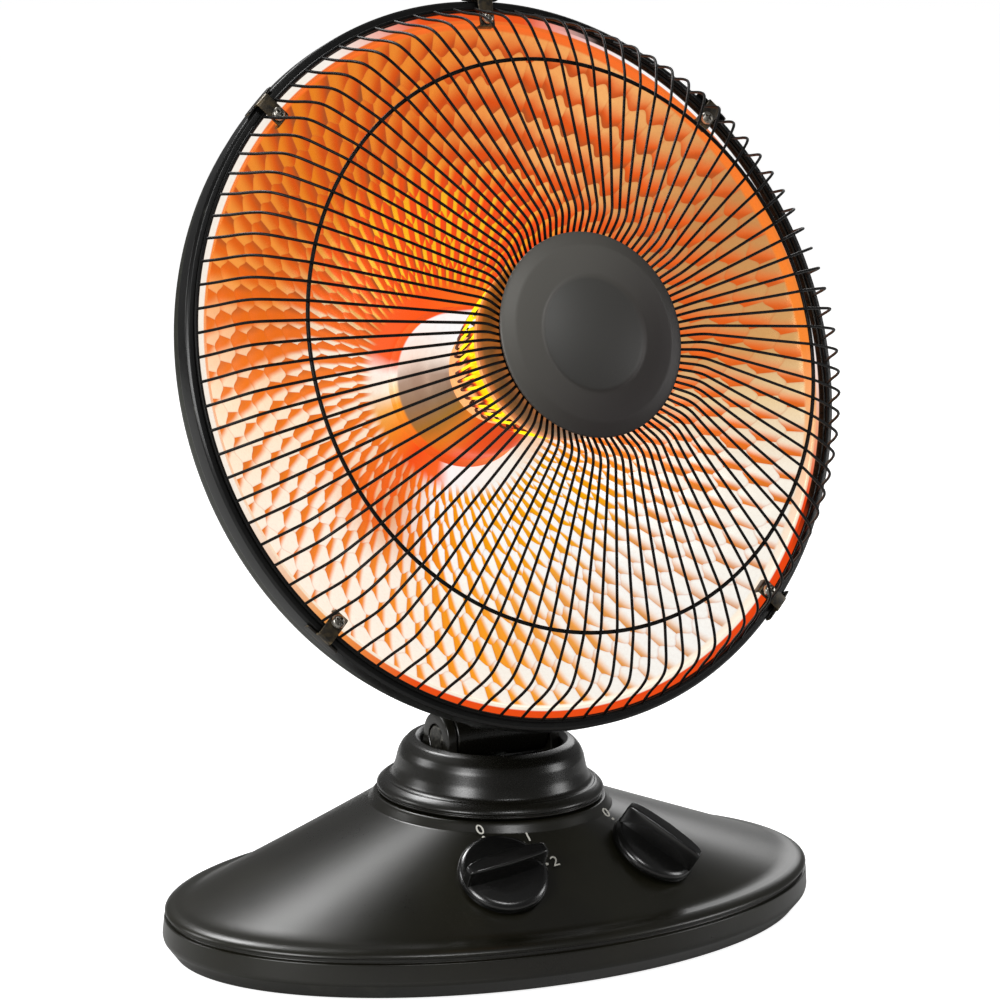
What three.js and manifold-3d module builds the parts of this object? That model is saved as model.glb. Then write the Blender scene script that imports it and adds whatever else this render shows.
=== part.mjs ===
// A free-standing parabolic heater: a dished reflector with a wire guard and a glowing coil,
// carried on a tilting neck and a swinging turret over an oval base with two knobs.
// Millimetres, +Z up, the front faces -Y. The origin is under the middle of the base.
import * as THREE from 'three';
import { mergeVertices } from 'three/addons/utils/BufferGeometryUtils.js';
import Module from 'manifold-3d';

const wasm = await Module();
wasm.setup();

// ---------------------------------------------------------------- sizes
const gap = 0.35;                 // clearance between pieces that touch
const turn = 2 * Math.PI;
const degree = Math.PI / 180;
const hexagon = Math.cos(30 * degree);   // flat over corner of a nut

// oval base
const baseHalfWidth = 181.8;
const baseHalfDepth = 111.5;
const coverLift = 1.5;            // lower edge of the cover over the floor
const bottomTuck = 6;             // how far the lower edge of the skirt draws in
const tuckHeight = 9;
const skirtLean = 0.8;
const skirtTop = 21.4;            // height of the groove
const grooveDepth = 3;
const grooveWidth = 1.4;
const edgeInset = 1;              // the upper edge stands this far inside the skirt
const edgeRadius = 4.4;           // height of the rounded upper edge
const slopeInset = 12;            // inset of the oval where the straight slope begins
const coverWall = 2.6;
const slopeTop = 69.3;
const slopeDrop = 4.7;            // height of the low collar over the end of the slope
const collarEdge = 1;
const baseSides = 40;
const glandRadius = 6;
const glandBore = 3;
const glandX = 62;
const glandZ = 12;

// tilt hinge
const neckWidth = 54;
const slotPlay = 0.7;
const cheekThick = 5.4;
const cheekFoot = 2;              // the cheeks widen by this much towards their foot
const barrelRadius = 13;
const cheekRadius = barrelRadius + 0.2;
const boltRadius = 4;
const boltHeadRadius = 6.8;
const boltHeadThick = 2.4;
const boltRecess = boltHeadThick + 0.4;
const neckHip = 8;                // the back of the neck bulges out behind the barrel
const neckHeel = 19;
const neckReach = 80;             // back of the neck behind the middle of the mouth
const neckSweep = 11;
const neckDrop = 147;             // under the middle of the mouth, where the neck begins to widen
const neckHeight = 79;
const neckLean = 4;
const neckFlare = 15;
const slotHalfWidth = neckWidth / 2 + slotPlay;
const hingeHalf = slotHalfWidth + cheekThick;

// turret and swivel
const swivelY = 7;                // the swivel axis stands a little behind the middle
const pitRadius = Math.hypot(hingeHalf, cheekRadius + cheekFoot);   // the cheeks just fit in the pit
const domeShoulder = 11.6;        // from the wall of the pit to the side of the dome
const domeRadius = pitRadius + domeShoulder;
const domeFlare = 2.2;
const domeWall = 2.4;
const ringReach = 10.6;           // the rolled ring stands this far out of the dome
const ringHeight = 7.6;
const turretRadius = domeRadius + ringReach;
const collarRadius = turretRadius + 1.8;         // low collar of the base under the turret
const slopeHighRadius = collarRadius + 2.6;      // upper end of the slope
const slopeHighZ = slopeTop - slopeDrop;
const turretGap = 0.7;            // shadow gap between base and turret
const turretLow = slopeTop + turretGap;
const domeHeight = 28.6;
const domeTop = turretLow + domeHeight;
const pitDepth = 12;
const pitFloor = domeTop - pitDepth;
const tiltZ = pitFloor + barrelRadius + 1.4;
const postRadius = 13;
const postBore = 9;
const postShoulder = 5;           // the post rests on the bush with this much more radius
const postFlangeRadius = pitRadius + 5.6;
const postFlangeThick = 3;
const bushWall = 5.3;
const bushFlangeRadius = 28;
const bushFlangeThick = 2.2;

// head: a turned stack about its own axis; depths are measured forward from the mouth plane
const headTilt = 19.8 * degree;
const headRise = 196;             // middle of the mouth over the tilt axis
const headReach = 23.6;           // and in front of it
const headY = swivelY - headReach;
const headZ = tiltZ + headRise;
const rimRadius = 185;
const rimSheet = 1.2;
const rimLap = 6.3;               // width of the rim's front flange
const rimInner = rimRadius - rimLap;
const rimDepth = 9;
const shellSheet = 1.6;
const shellRadius = rimRadius - rimSheet - 0.6;
const sheet = 1;                  // thickness of the reflector
const lipWidth = 10.2;
const lipOuter = shellRadius - 0.4;
const lipInner = lipOuter - lipWidth;
const bowlDepth = 72;
const bowlHole = 16;
const shellBand = 15;             // depth of the straight band behind the rim
const shellBend = 9;
const kneeRadius = shellRadius - 51.2;           // where the rear shell turns to its housing
const kneeClear = 18.3;           // room between reflector and shell at the knee
const housingRadius = 60;
const housingEdge = 6;
const housingClear = 14;          // room behind the bottom of the reflector
const housingDepth = 20;
const housingFront = -bowlDepth - housingClear;
const housingBack = housingFront - housingDepth;
const slotWidth = 3.2;
const slotLength = 26;
const slotPitch = 11;
const headSides = 32;

// centre cap
const capRadius = 50.8;
const capSheet = 1.4;
const capBevel = 7;
const capRise = 2.6;
const capRecessRadius = 27.5;
const capRecess = 1.3;

// wire guard
const wireCount = 96;
const wireRadius = 0.8;
const wireHalf = wireRadius * 1.2;               // corner of the three-sided wires
const ringWireRadius = 1;
const guardEndRadius = rimRadius - 4.6;
const guardEndDepth = gap + rimSheet + gap + ringWireRadius;
const cornerInset = 8.8;          // rounded shoulder of the wires, measured in from their ends
const cornerDepth = 25;
const shoulderInset = 14.9;
const shoulderDepth = 34.4;
const midRadius = guardEndRadius - 37.4;
const midDepth = 47.8;
const kinkRadius = capRadius + 10.2;
const kinkDepth = 69.8;
const innerRadius = capRadius - 4.3;
const innerDrop = 9.6;
const innerDepth = kinkDepth - innerDrop;
const centreThick = 1;
const wireSlope = innerDrop / (kinkRadius - innerRadius);
const underCap = innerDepth + wireSlope * (capRadius - innerRadius);
const capEdgeDepth = underCap + wireHalf * Math.hypot(1, wireSlope) + gap;

// heating element
const hubRadius = 39;
const hubFlange = 3;
const hubShoulder = 14;
const hubDome = 16;               // height of the domed part
const hubSheet = 1;
const neckRingRadius = 26;
const neckRingDepth = -28;
const neckRingThick = 4.5;
const hubTop = neckRingDepth - neckRingThick - gap;
const flangeRadius = 45.8;
const flangeThick = 3.2;
const formerBack = { radius: 21.2, depth: neckRingDepth + 0.4 };
const formerFront = { radius: 38.6, depth: 29.6 };
const shieldRadius = flangeRadius + 0.6;
const shieldSheet = 1;
const shieldEdge = 1.5;
const shieldFront = innerDepth - wireHalf - gap - centreThick - gap;
const shieldBack = formerFront.depth + flangeThick + 1.2;
const studRadius = 2.5;
const studNutRadius = 5.2;
const studNutHeight = 4.5;
const mountPlateRadius = 25;
const mountPlateThick = 4;
const cutoutRadius = 8;
const cutoutHeight = 8;
const cutoutReach = 15;           // thermal cutout beside the stud
const curlCount = 38;
const curlSteps = 8;
const curlSides = 4;
const coilWire = 0.62;
const coilStandOff = 0.9;         // bare gap between the former and the inner strand
const coilThick = 5.2;            // centre to centre of inner and outer strand
const coilBack = formerBack.depth + 12.8;
const coilFront = formerFront.depth - 2.2;
const coilStart = -110 * degree;

// guard clips
const clipAngles = [45, 90, 135, 225, 315].map((angle) => angle - 180 / wireCount);   // between two wires
const screwCircle = rimRadius - 9.6;
const clipInner = screwCircle - 4.8;
const clipWidth = 20;             // outer leg on the rim
const clipLeg = 4.5;
const clipDrop = 2;               // the leg reaches this far behind the mouth plane
const clipNeck = turn * clipInner / wireCount - 2 * (wireHalf + gap) - 0.1;   // strap between two wires
const clipSheet = 1.1;
const screwRadius = 1.7;
const screwHeadRadius = 3.5;
const screwHeadHeight = 2.2;
const screwReach = 7;

// knobs and their switches
const heatAngle = -110.3;         // degrees round the oval
const swingAngle = -60.7;
const knobUp = 0.575;             // share of the way up the slope
const knobRadius = 23;
const knobDisc = 6.5;
const knobLift = 0.9;
const gripWidth = 9.5;
const gripHeight = 12;
const stemRadius = 3.2;
const stemLength = 14;
const heatGripTurn = 3;
const swingGripTurn = -52;
const switchWidth = 26;
const switchLength = 24;
const switchHeight = 20;
const switchNeck = 5;
const switchNeckRadius = 6;

// floor pieces
const plateInset = 3.2;
const plateThick = 3;
const plateZ = 2.4;
const plateTop = plateZ + plateThick;
const footRadius = 11;
const footX = baseHalfWidth - 60.8;
const footY = baseHalfDepth - 56.5;
const footStem = 4;
const footPlaces = [[-footX, -footY], [footX, -footY], [footX, footY], [-footX, footY]];
const floorScrewRadius = 1.9;
const floorScrewReach = 16;
const bossRadius = 5;
const screwAngles = [0, 108, 180, -130];         // degrees round the oval
const screwUp = 0.18;             // share of the way up the slope
const plungerRadius = 5;
const plungerX = 60;
const plungerY = baseHalfDepth - 51.5;
const tipSwitchWidth = 20;
const tipSwitchLength = 16;
const tipSwitchHeight = 20;

// drive for the swinging turret
const motorRadius = 24;
const motorHeight = 18;
const motorBoss = 3;
const motorEar = 7;
const motorTop = plateTop + motorHeight;
const earDrop = 3;                // the ears sit this far under the motor's top
const earThick = 1.6;
const earWidth = 9;
const crankRadius = 9.2;
const crankEdge = 5;
const crankThick = 6.9;
const crankX = -62;
const crankBottom = motorTop + motorBoss + gap;
const crankTop = crankBottom + crankThick;
const armRadius = 16;
const armWidth = 11;
const armThick = 4;
const linkEye = 4;
const linkEnd = 3;                // stuff round the loose eye
const pinRadius = 2;
const linkOffset = 1.42;          // splits the open pivot's play over the stroke
const linkZ = crankTop + gap;
const linkThick = 2.4;
const crankY = swivelY + armRadius - crankRadius + linkOffset;
const armLow = linkZ + linkThick + 1.8;

// ---------------------------------------------------------------- colours
const paint = (color, roughness, metalness) =>
  new THREE.MeshStandardMaterial({ color, roughness, metalness });
const blackPlastic = paint(0x2b2a25, 0.42, 0);
const knobPlastic = paint(0x1c1c1b, 0.25, 0);
const blackPaint = paint(0x17171a, 0.4, 0.3);
const capPaint = paint(0x44423e, 0.5, 0.2);
const mirror = paint(0xd9d2c8, 0.12, 1);
const blackWire = paint(0x101012, 0.35, 0.4);
const ceramic = paint(0xe8cba8, 0.75, 0);
const glowing = paint(0xffa31a, 0.5, 0.1);
const steel = paint(0xa9a39a, 0.35, 1);
const brass = paint(0xa58a55, 0.4, 1);
const innerPlastic = paint(0x8d8f8c, 0.6, 0);
const rubber = paint(0x141414, 0.9, 0);

// ---------------------------------------------------------------- making and cutting bodies
const v2 = (x, y) => new THREE.Vector2(x, y);
const v3 = (x, y, z) => new THREE.Vector3(x, y, z);

// One closed body with shared vertices, no empty triangles and its faces outwards.
function closed(geometry) {
  geometry.deleteAttribute('normal');
  geometry.deleteAttribute('uv');
  const merged = mergeVertices(geometry, 1e-4);
  const place = merged.attributes.position;
  const source = merged.index.array;
  const kept = [];
  let volume = 0;
  const [a, b, c] = [v3(), v3(), v3()];
  for (let i = 0; i < source.length; i += 3) {
    const [p, q, r] = [source[i], source[i + 1], source[i + 2]];
    if (p === q || q === r || r === p) continue;
    kept.push(p, q, r);
    a.fromBufferAttribute(place, p);
    b.fromBufferAttribute(place, q);
    c.fromBufferAttribute(place, r);
    volume += a.dot(b.cross(c));
  }
  if (volume < 0) kept.reverse();
  merged.setIndex(kept);
  return merged;
}

function toSolid(geometry) {
  const shape = closed(geometry);
  return new wasm.Manifold(new wasm.Mesh({
    numProp: 3,
    vertProperties: Float32Array.from(shape.attributes.position.array),
    triVerts: Uint32Array.from(shape.index.array),
  }));
}

function toGeometry(solid) {
  const mesh = solid.getMesh();
  const geometry = new THREE.BufferGeometry();
  geometry.setAttribute('position', new THREE.BufferAttribute(mesh.vertProperties, mesh.numProp));
  geometry.setIndex(new THREE.BufferAttribute(mesh.triVerts, 1));
  return geometry;
}

const cut = (body, ...tools) =>
  toGeometry(tools.reduce((left, tool) => left.subtract(toSolid(tool)), toSolid(body)));
const join = (...bodies) =>
  toGeometry(bodies.map(toSolid).reduce((whole, next) => whole.add(next)));

// ---------------------------------------------------------------- basic forms
// A body turned about Z from (radius, height) points.
function turned(points, sides) {
  const profile = points.map(([radius, height]) => v2(radius, height));
  return closed(new THREE.LatheGeometry(profile, sides).rotateX(Math.PI / 2));
}

// A turned ring whose section is a closed outline.
const turnedRing = (points, sides) => turned([...points, points[0]], sides);

const disc = (radius, low, high, sides) =>
  turned([[0, low], [radius, low], [radius, high], [0, high]], sides);

const tubeRing = (inner, outer, low, high, sides) =>
  turnedRing([[inner, low], [outer, low], [outer, high], [inner, high]], sides);

const block = (x, y, z, low = [0, 0, 0]) =>
  closed(new THREE.BoxGeometry(x, y, z).translate(low[0], low[1], low[2] + z / 2));

// A flat outline in the XY plane, raised from low to high.
function plate(shape, low, high, curveSegments = 8) {
  const settings = { depth: high - low, bevelEnabled: false, curveSegments };
  return closed(new THREE.ExtrudeGeometry(shape, settings).translate(0, 0, low));
}

// An outline drawn in the YZ plane, made `width` wide and centred on X.
function sidePlate(shape, width, middle = 0, curveSegments = 10) {
  const settings = { depth: width, bevelEnabled: false, curveSegments };
  const geometry = new THREE.ExtrudeGeometry(shape, settings);
  const axes = new THREE.Matrix4().makeBasis(v3(0, 1, 0), v3(0, 0, 1), v3(1, 0, 0));
  return closed(geometry.applyMatrix4(axes).translate(middle - width / 2, 0, 0));
}

function outline(points) {
  return new THREE.Shape(points.map(([x, y]) => v2(x, y)));
}

function ovalShape(halfX, halfY, x = 0, y = 0, sides = 10) {
  return outline(Array.from({ length: sides }, (_, i) => {
    const angle = turn * (i + 0.5) / sides;
    return [x + halfX * Math.cos(angle), y + halfY * Math.sin(angle)];
  }));
}

// Points of an arc in the (radius, height) plane.
function arc(centreR, centreH, radius, from, to, steps) {
  return Array.from({ length: steps + 1 }, (_, i) => {
    const angle = (from + (to - from) * i / steps) * degree;
    return [centreR + radius * Math.cos(angle), centreH + radius * Math.sin(angle)];
  });
}

// Horizontal ovals joined from the bottom up and closed at both ends. A `corner` under 1 squares them.
function ovalLoft(levels, sides, corner = 1) {
  const bulge = (value) => Math.sign(value) * Math.abs(value) ** corner;
  const points = [];
  const faces = [];
  for (const { halfX, halfY, y, z } of levels) {
    for (let i = 0; i < sides; i += 1) {
      const angle = turn * i / sides;
      points.push(halfX * bulge(Math.cos(angle)), y + halfY * bulge(Math.sin(angle)), z);
    }
  }
  const last = levels.length - 1;
  for (let level = 0; level < last; level += 1) {
    for (let i = 0; i < sides; i += 1) {
      const low = level * sides + i;
      const lowNext = level * sides + (i + 1) % sides;
      faces.push(low, lowNext, low + sides, lowNext, lowNext + sides, low + sides);
    }
  }
  const floor = points.length / 3;
  points.push(0, levels[0].y, levels[0].z, 0, levels[last].y, levels[last].z);
  for (let i = 0; i < sides; i += 1) {
    const next = (i + 1) % sides;
    faces.push(floor, next, i, floor + 1, last * sides + i, last * sides + next);
  }
  return closed(indexed(points, faces));
}

function indexed(points, faces) {
  const geometry = new THREE.BufferGeometry();
  geometry.setAttribute('position', new THREE.Float32BufferAttribute(points, 3));
  geometry.setIndex(faces);
  return geometry;
}

// A round wire through given points. Its section keeps one side along `guide`, and each bend is mitred.
function bentWire(path, radius, sides, guide, isClosed = false) {
  const points = [];
  const faces = [];
  const count = path.length;
  const at = (i) => (isClosed ? path[(i + count) % count] : path[Math.min(Math.max(i, 0), count - 1)]);
  for (let i = 0; i < count; i += 1) {
    const before = at(i).clone().sub(at(i - 1)).normalize();
    const after = at(i + 1).clone().sub(at(i)).normalize();
    const along = before.clone().add(after).normalize();
    const lean = Math.max(0.5, along.dot(after.lengthSq() > 0 ? after : before));
    const side = guide(i).clone().addScaledVector(along, -guide(i).dot(along)).normalize();
    const up = along.clone().cross(side);
    for (let k = 0; k < sides; k += 1) {
      const angle = turn * (k + 0.5) / sides;
      const across = radius * Math.cos(angle);
      const height = radius * Math.sin(angle) / lean;
      const corner = at(i).clone().addScaledVector(side, across).addScaledVector(up, height);
      points.push(corner.x, corner.y, corner.z);
    }
  }
  const spans = isClosed ? count : count - 1;
  for (let i = 0; i < spans; i += 1) {
    for (let k = 0; k < sides; k += 1) {
      const here = i * sides + k;
      const beside = i * sides + (k + 1) % sides;
      const ahead = ((i + 1) % count) * sides + k;
      const aheadBeside = ((i + 1) % count) * sides + (k + 1) % sides;
      faces.push(here, beside, ahead, beside, aheadBeside, ahead);
    }
  }
  if (!isClosed) {
    for (let k = 1; k < sides - 1; k += 1) {
      const end = (count - 1) * sides;
      faces.push(0, k + 1, k, end, end + k, end + k + 1);
    }
  }
  return closed(indexed(points, faces));
}

const placed = (geometry, x, y, z) => geometry.clone().translate(x, y, z);
const spun = (geometry, degrees) => geometry.clone().rotateZ(degrees * degree);

// ---------------------------------------------------------------- the scene
const group = new THREE.Group();

function add(parent, name, geometry, material) {
  const mesh = new THREE.Mesh(geometry, material);
  mesh.name = name;
  parent.add(mesh);
  return mesh;
}

const base = new THREE.Group();
const turret = new THREE.Group();
turret.position.set(0, swivelY, 0);
const head = new THREE.Group();
head.position.set(0, headY, headZ);
head.rotation.x = Math.PI / 2 - headTilt;
group.add(base, turret, head);

// ---------------------------------------------------------------- base
const edgeStart = skirtTop + grooveWidth;
const slopeFoot = {
  halfX: baseHalfWidth - slopeInset,
  halfY: baseHalfDepth - slopeInset,
  z: edgeStart + edgeRadius,
};

const oval = (inset, z) => ({ halfX: baseHalfWidth - inset, halfY: baseHalfDepth - inset, y: 0, z });
const roundTop = (radius, z) => ({ halfX: radius, halfY: radius, y: swivelY, z });

// The rounded edge between the groove and the slope.
function edgeLevels() {
  const reach = slopeInset - edgeInset;
  return [0.6].map((share) => {
    const angle = share * Math.PI / 2;
    return oval(edgeInset + reach * (1 - Math.cos(angle)), edgeStart + edgeRadius * Math.sin(angle));
  });
}

function coverOutside() {
  return ovalLoft([
    oval(bottomTuck, coverLift),
    oval(0, coverLift + tuckHeight),
    oval(skirtLean, skirtTop - grooveWidth),
    oval(grooveDepth, skirtTop),
    oval(edgeInset, edgeStart),
    ...edgeLevels(),
    oval(slopeInset, slopeFoot.z),
    roundTop(slopeHighRadius, slopeHighZ),
    roundTop(collarRadius, slopeTop - collarEdge),
    roundTop(collarRadius - collarEdge, slopeTop),
  ], baseSides);
}

function coverInside() {
  return ovalLoft([
    oval(bottomTuck + coverWall, coverLift - 1),
    oval(grooveDepth + coverWall, coverLift + tuckHeight),
    oval(grooveDepth + coverWall, skirtTop),
    oval(slopeInset + coverWall, slopeFoot.z - coverWall),
    roundTop(slopeHighRadius - coverWall, slopeHighZ - coverWall),
    roundTop(collarRadius - coverWall - 0.6, slopeTop - coverWall),
  ], baseSides);
}

// A place on the slope, `round` degrees from its side and `up` of the way, with its outward frame.
function slopeFrame(round, up) {
  const angle = round * degree;
  const low = v3(slopeFoot.halfX * Math.cos(angle), slopeFoot.halfY * Math.sin(angle), slopeFoot.z);
  const { halfX: top } = roundTop(slopeHighRadius, slopeHighZ);
  const high = v3(top * Math.cos(angle), swivelY + top * Math.sin(angle), slopeHighZ);
  const place = low.clone().lerp(high, up);
  const rise = high.clone().sub(low).normalize();
  const halfX = slopeFoot.halfX + (top - slopeFoot.halfX) * up;
  const halfY = slopeFoot.halfY + (top - slopeFoot.halfY) * up;
  const along = v3(-halfX * Math.sin(angle), halfY * Math.cos(angle), 0).normalize();
  const out = along.clone().cross(rise).normalize();
  const sideways = v3(1, 0, 0).addScaledVector(out, -out.x).normalize();
  return new THREE.Matrix4().makeBasis(sideways, out.clone().cross(sideways), out).setPosition(place);
}

const heatFrame = slopeFrame(heatAngle, knobUp);
const swingFrame = slopeFrame(swingAngle, knobUp);

const glandY = baseHalfDepth * Math.sqrt(1 - (glandX / baseHalfWidth) ** 2);

// Posts moulded under the slope that take the screws of the floor plate.
const screwPlaces = screwAngles.map((angle) => v3().setFromMatrixPosition(slopeFrame(angle, screwUp)));
const screwBosses = () => screwPlaces.map(({ x, y, z }) =>
  placed(disc(bossRadius, plateTop + gap, z - coverWall * 1.5, 8), x, y, 0));

function baseCover() {
  const stemHole = disc(stemRadius + 1, -15, 15, 12);
  const tapped = disc(floorScrewRadius + gap, 0, floorScrewReach + 2, 6);
  return cut(
    join(cut(coverOutside(), coverInside()), ...screwBosses()),
    placed(disc(bushRadius + gap, slopeTop - 2 * coverWall, slopeTop + 1, 20), 0, swivelY, 0),
    stemHole.clone().applyMatrix4(heatFrame),
    stemHole.clone().applyMatrix4(swingFrame),
    ...screwPlaces.map(({ x, y }) => placed(tapped, x, y, 0)),
    placed(disc(glandRadius + gap, 0, 60, 12).rotateX(-Math.PI / 2), glandX, glandY - 30, glandZ),
  );
}

// The outlet bush in the rear wall, with a lip on each side of it.
function cordGland() {
  const lip = coverWall / 2 + 4;
  const lipThick = 1.6;
  return turnedRing([
    [glandBore, -lip - 6], [glandRadius, -lip - 6], [glandRadius, lip - lipThick],
    [glandRadius + 2.4, lip - lipThick], [glandRadius + 2.4, lip], [glandBore, lip],
  ], 12);
}

// The floor of the base, with holes for feet, screws and the plunger, and a row of air slots.
function basePlate() {
  const rim = bottomTuck + plateInset;
  const sheetShape = ovalShape(baseHalfWidth - rim, baseHalfDepth - rim, 0, 0, baseSides);
  const hole = (radius, x, y) => placed(disc(radius, plateZ - 1, plateTop + 1, 8), x, y, 0);
  return cut(
    plate(sheetShape, plateZ, plateTop),
    ...footPlaces.map(([x, y]) => hole(footStem + gap, x, y)),
    ...screwPlaces.map(({ x, y }) => hole(floorScrewRadius + gap, x, y)),
    hole(plungerRadius + 0.8, plungerX, plungerY),
    ...[-22, 0, 22].map((x) => block(6, 28, 9, [x, -26, plateZ - 2])),
  );
}

// A rubber pad with a barbed stem pushed through the floor plate.
const foot = () => turned([
  [0, 0], [footRadius, 0], [footRadius, plateZ - gap], [footStem, plateZ - gap],
  [footStem, plateTop + gap], [footStem + 1.2, plateTop + gap],
  [footStem - 1, plateTop + 3.4], [0, plateTop + 3.4],
], 8);

// A pan-head screw from below; its head sits in the plate's hole edge.
const baseScrew = () => turned([
  [0, plateZ - 1.3], [floorScrewRadius + 2, plateZ - 1.3], [floorScrewRadius + 2, plateZ - gap],
  [floorScrewRadius, plateZ - gap], [floorScrewRadius, floorScrewReach], [0, floorScrewReach + 1.5],
], 6);

// The flanged bush in the top of the base: the post turns in it, and its shoulder rests on the flange.
const bushRadius = postRadius + bushWall;
const bushTop = slopeTop + gap + bushFlangeThick;
const swivelBearing = () => turnedRing([
  [postRadius + gap, armLow + armThick + gap], [bushRadius, armLow + armThick + gap],
  [bushRadius, slopeTop + gap], [bushFlangeRadius, slopeTop + gap], [bushFlangeRadius, bushTop],
  [postRadius + gap, bushTop],
], 16);

function swingMotor() {
  const body = turned([
    [0, plateTop + 1], [motorRadius, plateTop + 1], [motorRadius, motorTop],
    [motorEar, motorTop], [motorEar, motorTop + motorBoss], [0, motorTop + motorBoss],
  ], 16);
  const ears = placed(block(2 * (motorRadius + motorEar), earWidth, earThick), 0, 0, motorTop - earDrop);
  return placed(join(body, ears), crankX, crankY, 0);
}

// Two sheet-metal legs and a bridge that hold the motor by its ears.
function motorBracket() {
  const low = plateTop + gap;
  const high = motorTop - earDrop - gap;
  const width = earWidth + 3;
  const leg = (side) => join(
    placed(block(motorEar, width, earThick), side * (motorRadius + motorEar + 3.2), 0, low),
    placed(block(earThick, width, high - low), side * (motorRadius + motorEar + 0.5), 0, low),
    placed(block(motorEar, width, earThick), side * (motorRadius + motorEar - 2), 0, high - earThick),
  );
  return [-1, 1].map((side) => placed(leg(side), crankX, crankY, 0));
}

// ---------------------------------------------------------------- switches and knobs
const slopeWall = coverWall * Math.SQRT2;

// A boxed rotary switch under the slope; its bush takes the knob's stem.
function rotarySwitch() {
  const floor = -slopeWall - switchNeck - switchHeight;
  const body = block(switchWidth, switchLength, switchHeight, [0, 0, floor]);
  const neck = disc(switchNeckRadius, -slopeWall - switchNeck - 1, -slopeWall - 1, 12);
  return cut(join(body, neck), disc(stemRadius + gap, -stemLength - 1, 10, 12));
}

// A round skirt with a bar across it, thinner at the pointing end, on a short stem.
function knob(gripTurn) {
  const skirt = turned([
    [0, knobLift], [knobRadius, knobLift], [knobRadius - 0.3, knobDisc - 1.2],
    [knobRadius - 2, knobDisc], [0, knobDisc + 1],
  ], 16);
  const reach = knobRadius - 0.8;
  const bar = outline([
    [-reach + 1.5, knobDisc - 2], [reach - 1.5, knobDisc - 2], [reach, knobDisc + 3],
    [reach - 1.5, knobDisc + gripHeight - 3.4], [reach * 0.4, knobDisc + gripHeight - 0.6],
    [-reach * 0.4, knobDisc + gripHeight - 0.6], [-reach + 1.5, knobDisc + gripHeight - 3.4],
    [-reach, knobDisc + 3],
  ]);
  const grip = sidePlate(bar, gripWidth, 0, 4).rotateZ(-Math.PI / 2);
  const stem = disc(stemRadius, -stemLength, 2, 12);
  return spun(join(skirt, grip, stem), gripTurn);
}

// ---------------------------------------------------------------- tip-over switch
const tipSwitch = () => placed(cut(
  block(tipSwitchWidth, tipSwitchLength, tipSwitchHeight, [0, 0, plateTop + gap]),
  disc(plungerRadius + 0.6, 0, plateTop + tipSwitchHeight - 6, 16),
), plungerX, plungerY, 0);

const tipPlunger = () => placed(turned([
  [0, 0.4], [plungerRadius - 1, 0.4], [plungerRadius, 1.4],
  [plungerRadius, plateTop + 8], [0, plateTop + 8],
], 14), plungerX, plungerY, 0);

// ---------------------------------------------------------------- drive
function crankDisc() {
  const wheel = disc(crankRadius + crankEdge, crankBottom, crankTop, 18);
  const pin = placed(disc(pinRadius, crankTop - 1, linkZ + linkThick + 1.4, 10), 0, crankRadius, 0);
  return placed(join(wheel, pin), crankX, crankY, 0);
}

// A flat bar with a close eye on the crank pin and a loose one on the arm pin.
function driveLink() {
  const nearY = crankY + crankRadius;
  const length = -crankX;
  const ends = linkEye + linkEnd;
  const shape = new THREE.Shape();
  shape.absarc(0, 0, pinRadius + linkEnd - 0.5, Math.PI / 2, 1.5 * Math.PI, false);
  shape.absarc(length, 0, ends, -Math.PI / 2, Math.PI / 2, false);
  const eye = (radius, x) => placed(disc(radius, linkZ - 1, linkZ + linkThick + 1, 12), x, 0, 0);
  const bar = cut(plate(shape, linkZ, linkZ + linkThick, 5), eye(pinRadius + gap, 0), eye(linkEye, length));
  return placed(bar, crankX, nearY, 0);
}

// ---------------------------------------------------------------- turret (about the swivel axis)
function armBody() {
  const reach = armRadius + pinRadius + 1;
  const hub = disc(postRadius + 4.5, armLow, armLow + armThick, 18);
  const tongue = block(armWidth, reach, armThick, [0, reach / 2, armLow]);
  const pin = placed(disc(pinRadius, linkZ - 1.5, armLow + 1, 10), 0, armRadius, 0);
  return cut(join(hub, tongue, pin), disc(postRadius + gap, armLow - 1, armLow + armThick + 1, 18));
}

// The hollow post under the dome's floor: its wide flange carries the dome, its shoulder rests on the bush.
function swivelPost() {
  const low = armLow + 0.4;
  const high = pitFloor - domeWall - gap;
  const shoulder = bushTop + gap;
  return turnedRing([
    [postBore, low], [postRadius, low], [postRadius, shoulder], [postRadius + postShoulder, shoulder],
    [postRadius + postShoulder, shoulder + 3], [postRadius + 1, shoulder + 4],
    [postRadius + 1, high - postFlangeThick], [postFlangeRadius, high - postFlangeThick],
    [postFlangeRadius, high], [postBore, high],
  ], 16);
}

// The turret's skin from the rolled ring at its foot, over the dome and down into the round pit.
function turretShell() {
  const ringTop = turretLow + ringHeight;
  return turnedRing([
    [turretRadius - 0.6, turretLow], [turretRadius, turretLow + 1.6],
    [turretRadius - 1.2, ringTop - 3], [turretRadius - 4.2, ringTop - 0.4],
    [turretRadius - 5.2, ringTop - 0.6], [domeRadius + domeFlare, ringTop + 3.6],
    [domeRadius, domeTop - 12], [domeRadius - 2.2, domeTop - 6.6],
    [domeRadius - 6, domeTop - 2], [pitRadius + 2.6, domeTop], [pitRadius, domeTop - 2.2],
    [pitRadius - 0.8, pitFloor], [postBore, pitFloor], [postBore, pitFloor - domeWall],
    [pitRadius + 1.6, pitFloor - domeWall], [domeRadius - 3.6, domeTop - 10],
    [domeRadius + domeFlare - domeWall - 0.4, ringTop + 2.4], [turretRadius - 4 - domeWall, turretLow],
  ], 24);
}

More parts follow.
